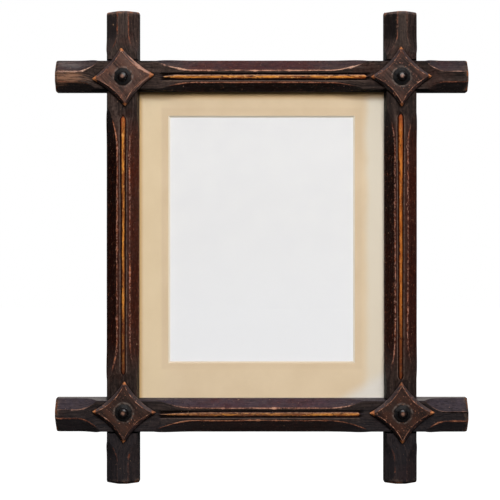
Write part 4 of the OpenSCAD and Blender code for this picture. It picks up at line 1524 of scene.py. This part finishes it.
class OXFORD_OT_stars(bpy.types.Operator):
    """Shapes the four corner stars, each with its own size and turn"""

    bl_idname = "oxford.stars"
    bl_label = "Stars"

    def execute(self, context):
        sizes = context.scene.oxford_stars
        tree = star_tree()
        for i, corner in enumerate(CORNERS):
            node = "star_" + corner
            low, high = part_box(node)
            stud = centre_of("stud_" + corner)
            values = {
                "Width": sizes.widths[i],
                "Height": sizes.heights[i],
                "Thickness": high.y - low.y,
                "Hollow": sizes.hollows[i],
                "Bevel": sizes.bevel,
                "Blunt": sizes.blunt,
                "Wear": sizes.wear,
                "Stud Radius": context.scene.oxford_studs.flange / 2,
                "Turn": sizes.turns[i],
                "Centre": (stud.x, high.y, stud.z),
                "Seed": 3.0 + 2.0 * i,
                "Material": finishes()["star_wood"],
            }
            new_piece(grown(node + "_carved", tree, [], values, sharp=30), "star_wood", "frame", node)
        return {"FINISHED"}


class OXFORD_OT_studs(bpy.types.Operator):
    """Sets a domed stud in the middle of each star"""

    bl_idname = "oxford.studs"
    bl_label = "Studs"

    def execute(self, context):
        sizes = context.scene.oxford_studs
        nodes = ["stud_" + corner for corner in CORNERS]
        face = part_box("star_top_left")[0].y
        points = [(centre_of(node).x, face, centre_of(node).z) for node in nodes]
        values = {
            "Flange Radius": sizes.flange / 2,
            "Dome Radius": sizes.dome,
            "Height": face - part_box("stud_top_left")[0].y,
            "Seed": 3,
            "Material": finishes()["black_stud"],
        }
        new_piece(grown("corner_studs", stud_tree(), points, values, sharp=24), "black_stud", "frame", *nodes)
        return {"FINISHED"}


class OXFORD_OT_picture(bpy.types.Operator):
    """Finishes the glass, the window mount and the blank sheet behind it"""

    bl_idname = "oxford.picture"
    bl_label = "Glass, mount and sheet"

    def execute(self, context):
        repaint("glass", "window_glass")
        repaint("window_mount", "mount_card")
        repaint("picture_sheet", "pale_sheet")
        return {"FINISHED"}


class OXFORD_OT_back(bpy.types.Operator):
    """Finishes the backing card and the pine backboard"""

    bl_idname = "oxford.back"
    bl_label = "Card and backboard"

    def execute(self, context):
        repaint("backing_card", "grey_card")
        repaint("backboard", "pine_board")
        return {"FINISHED"}


class OXFORD_OT_turn_buttons(bpy.types.Operator):
    """Makes the four turn buttons, each on its own body"""

    bl_idname = "oxford.turn_buttons"
    bl_label = "Turn buttons"

    def execute(self, context):
        sizes = context.scene.oxford_brass
        tree = button_tree()
        for turn in TURNS:
            node = "turn_" + turn
            low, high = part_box(node)
            on_left = turn.startswith("left")
            pivot_x = low.x + sizes.pivot_r if on_left else high.x - sizes.pivot_r
            values = {
                "Pivot Radius": sizes.pivot_r,
                "Tip Radius": sizes.tip_r,
                "Arm": sizes.arm,
                "Thickness": high.y - low.y,
                "Edge": sizes.edge,
                "Bore Radius": sizes.bore_r,
                "Facing": math.pi if on_left else 0.0,
                "Material": finishes()["old_brass"],
            }
            point = (pivot_x, centre_of(node).y, centre_of(node).z)
            new_piece(grown(node + "_brass", tree, [point], values, sharp=40), "old_brass", node, node)
        return {"FINISHED"}


class OXFORD_OT_screws(bpy.types.Operator):
    """Drives the screws of the turn buttons and of the hanger"""

    bl_idname = "oxford.screws"
    bl_label = "Screws"

    def execute(self, context):
        sizes = context.scene.oxford_brass
        tree, r = screw_tree(), sizes.head_r
        low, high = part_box("turn_screws")
        held = [(x, z) for x in (low.x + r, high.x - r) for z in (low.z + r, high.z - r)]
        low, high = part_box("hanger_screws")
        hung = [(x, centre_of("hanger_screws").z) for x in (low.x + r, high.x - r)]
        for node, spots, seed in (("turn_screws", held, 5), ("hanger_screws", hung, 8)):
            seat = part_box(node)[1].y - sizes.head_h
            values = {
                "Head Radius": r,
                "Head Height": sizes.head_h,
                "Slot Width": sizes.slot_w,
                "Slot Depth": sizes.slot_d,
                "Seed": seed,
                "Material": finishes()["old_brass"],
            }
            points = [(x, seat, z) for x, z in spots]
            new_piece(grown(node + "_brass", tree, points, values, sharp=35), "old_brass", "frame", node)
        return {"FINISHED"}


class OXFORD_OT_hanger(bpy.types.Operator):
    """Finishes the hanger's plate and its ring"""

    bl_idname = "oxford.hanger"
    bl_label = "Ring hanger"

    def execute(self, context):
        repaint("hanger_plate", "old_brass")
        repaint("hanger_ring", "old_brass")
        return {"FINISHED"}


def seen_plainly(tree):
    """The paths of light, and whether the camera sees this straight or through the glass."""
    path = flows(put(tree, "ShaderNodeLightPath"))
    return path, most(path["Is Camera Ray"], path["Is Transmission Ray"])


def floor_paint():
    """Pale floor that is white to the camera and dim to the frame, so that it throws little light up."""
    tree, shader = new_material("pale_floor")
    _, seen = seen_plainly(tree)
    dim, pale, glow = (0.07, 0.07, 0.07, 1), (0.4, 0.4, 0.4, 1), 0.9
    looks = {
        "Base Color": blend(seen, dim, pale),
        "Roughness": 0.9,
        "Specular IOR Level": 0.0,
        "Emission Color": (1, 1, 1, 1),
        "Emission Strength": glow * seen,
    }
    dress(shader, looks)
    return FINISHES["pale_floor"]


def studio_world(scene):
    """White to the camera, and to the frame a dim room with a bright ceiling and a paler right wall."""
    world = bpy.data.worlds.new("studio")
    scene.world = world
    world.use_nodes = True
    tree = world.node_tree
    x, y, z = parts_of(flows(put(tree, "ShaderNodeTexCoord"))["Generated"])
    path, seen = seen_plainly(tree)
    ceiling, wall, behind = step(z, 0.3, 0.85), step(x, 0.45, 0.95), step(y, 0.55, 0.9)
    bright, dim = 0.62, 0.1
    lit = most(between(ceiling, dim, bright), between(wall, dim, 0.3))
    shine = most(most(bright * ceiling, between(wall, 0.015, 0.05)), 0.4 * behind)
    room = between(path["Is Glossy Ray"], lit, shine)
    background = next(n for n in tree.nodes if n.type == "BACKGROUND")
    dress(background, {"Color": (1, 1, 1, 1), "Strength": between(seen, room, 1.0)})


def softbox(name, place, size, watts):
    """A square area lamp at place that faces the middle of the frame."""
    lamp = bpy.data.lights.new(name, "AREA")
    lamp.size, lamp.energy = size, watts
    holder = bpy.data.objects.new(name, lamp)
    holder.location = place
    holder.rotation_euler = (-Vector(place)).to_track_quat("-Z", "Y").to_euler()
    bpy.context.scene.collection.objects.link(holder)


class OXFORD_OT_stage(bpy.types.Operator):
    """Sets up the floor, the lamps, the white room and the camera"""

    bl_idname = "oxford.stage"
    bl_label = "Stage"

    def execute(self, context):
        scene, stage = context.scene, context.scene.oxford_stage
        low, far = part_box("stile_left")[0].z - stage.drop, stage.floor_half
        mesh = bpy.data.meshes.new("floor")
        corners = [(-far, -far, low), (far, -far, low), (far, far, low), (-far, far, low)]
        mesh.from_pydata(corners, [], [(0, 1, 2, 3)])
        mesh.materials.append(floor_paint())
        floor = bpy.data.objects.new("floor", mesh)
        scene.collection.objects.link(floor)
        studio_world(scene)
        softbox("key", stage.key_place, stage.key_size, stage.key_power)
        softbox("overhead", stage.overhead_place, stage.overhead_size, stage.overhead_power)

        lens = bpy.data.cameras.new("camera")
        lens.sensor_width, lens.lens = 36.0, stage.lens * 1000
        lens.shift_x, lens.shift_y = stage.shift
        camera = bpy.data.objects.new("camera", lens)
        camera.location = stage.eye
        camera.rotation_euler = (math.pi / 2, 0, 0)
        scene.collection.objects.link(camera)
        scene.camera = camera
        scene.view_settings.view_transform = "Standard"
        return {"FINISHED"}


class OXFORD_PT_frame(bpy.types.Panel):
    """Lists the frame's pieces, sizes and colours"""

    bl_label = "Oxford frame"
    bl_idname = "OXFORD_PT_frame"
    bl_space_type = "VIEW_3D"
    bl_region_type = "UI"
    bl_category = "Oxford frame"

    def draw(self, context):
        for operator in OPERATORS:
            self.layout.operator(operator.bl_idname)
        for name, kind in SETTINGS.items():
            box = self.layout.box()
            box.label(text=kind.__doc__)
            for key in kind.__annotations__:
                box.prop(getattr(context.scene, name), key)


OPERATORS = (
    OXFORD_OT_stage,
    OXFORD_OT_rails,
    OXFORD_OT_stiles,
    OXFORD_OT_stars,
    OXFORD_OT_studs,
    OXFORD_OT_picture,
    OXFORD_OT_back,
    OXFORD_OT_turn_buttons,
    OXFORD_OT_screws,
    OXFORD_OT_hanger,
)
SETTINGS = {
    "oxford_members": MemberSizes,
    "oxford_stars": StarSizes,
    "oxford_studs": StudSizes,
    "oxford_brass": BrassSizes,
    "oxford_colours": FrameColours,
    "oxford_stage": StageSettings,
}


def register():
    """Registers the settings, the operators and the panel."""
    for kind in (*SETTINGS.values(), *OPERATORS, OXFORD_PT_frame):
        bpy.utils.register_class(kind)
    for name, kind in SETTINGS.items():
        setattr(bpy.types.Scene, name, PointerProperty(type=kind))


def unregister():
    """Removes what register added."""
    for name in SETTINGS:
        delattr(bpy.types.Scene, name)
    for kind in (OXFORD_PT_frame, *reversed(OPERATORS), *reversed(list(SETTINGS.values()))):
        bpy.utils.unregister_class(kind)


def main():
    register()
    for operator in OPERATORS:
        name = operator.bl_idname.split(".")[1]
        getattr(bpy.ops.oxford, name)()


if __name__ == "__main__":
    main()
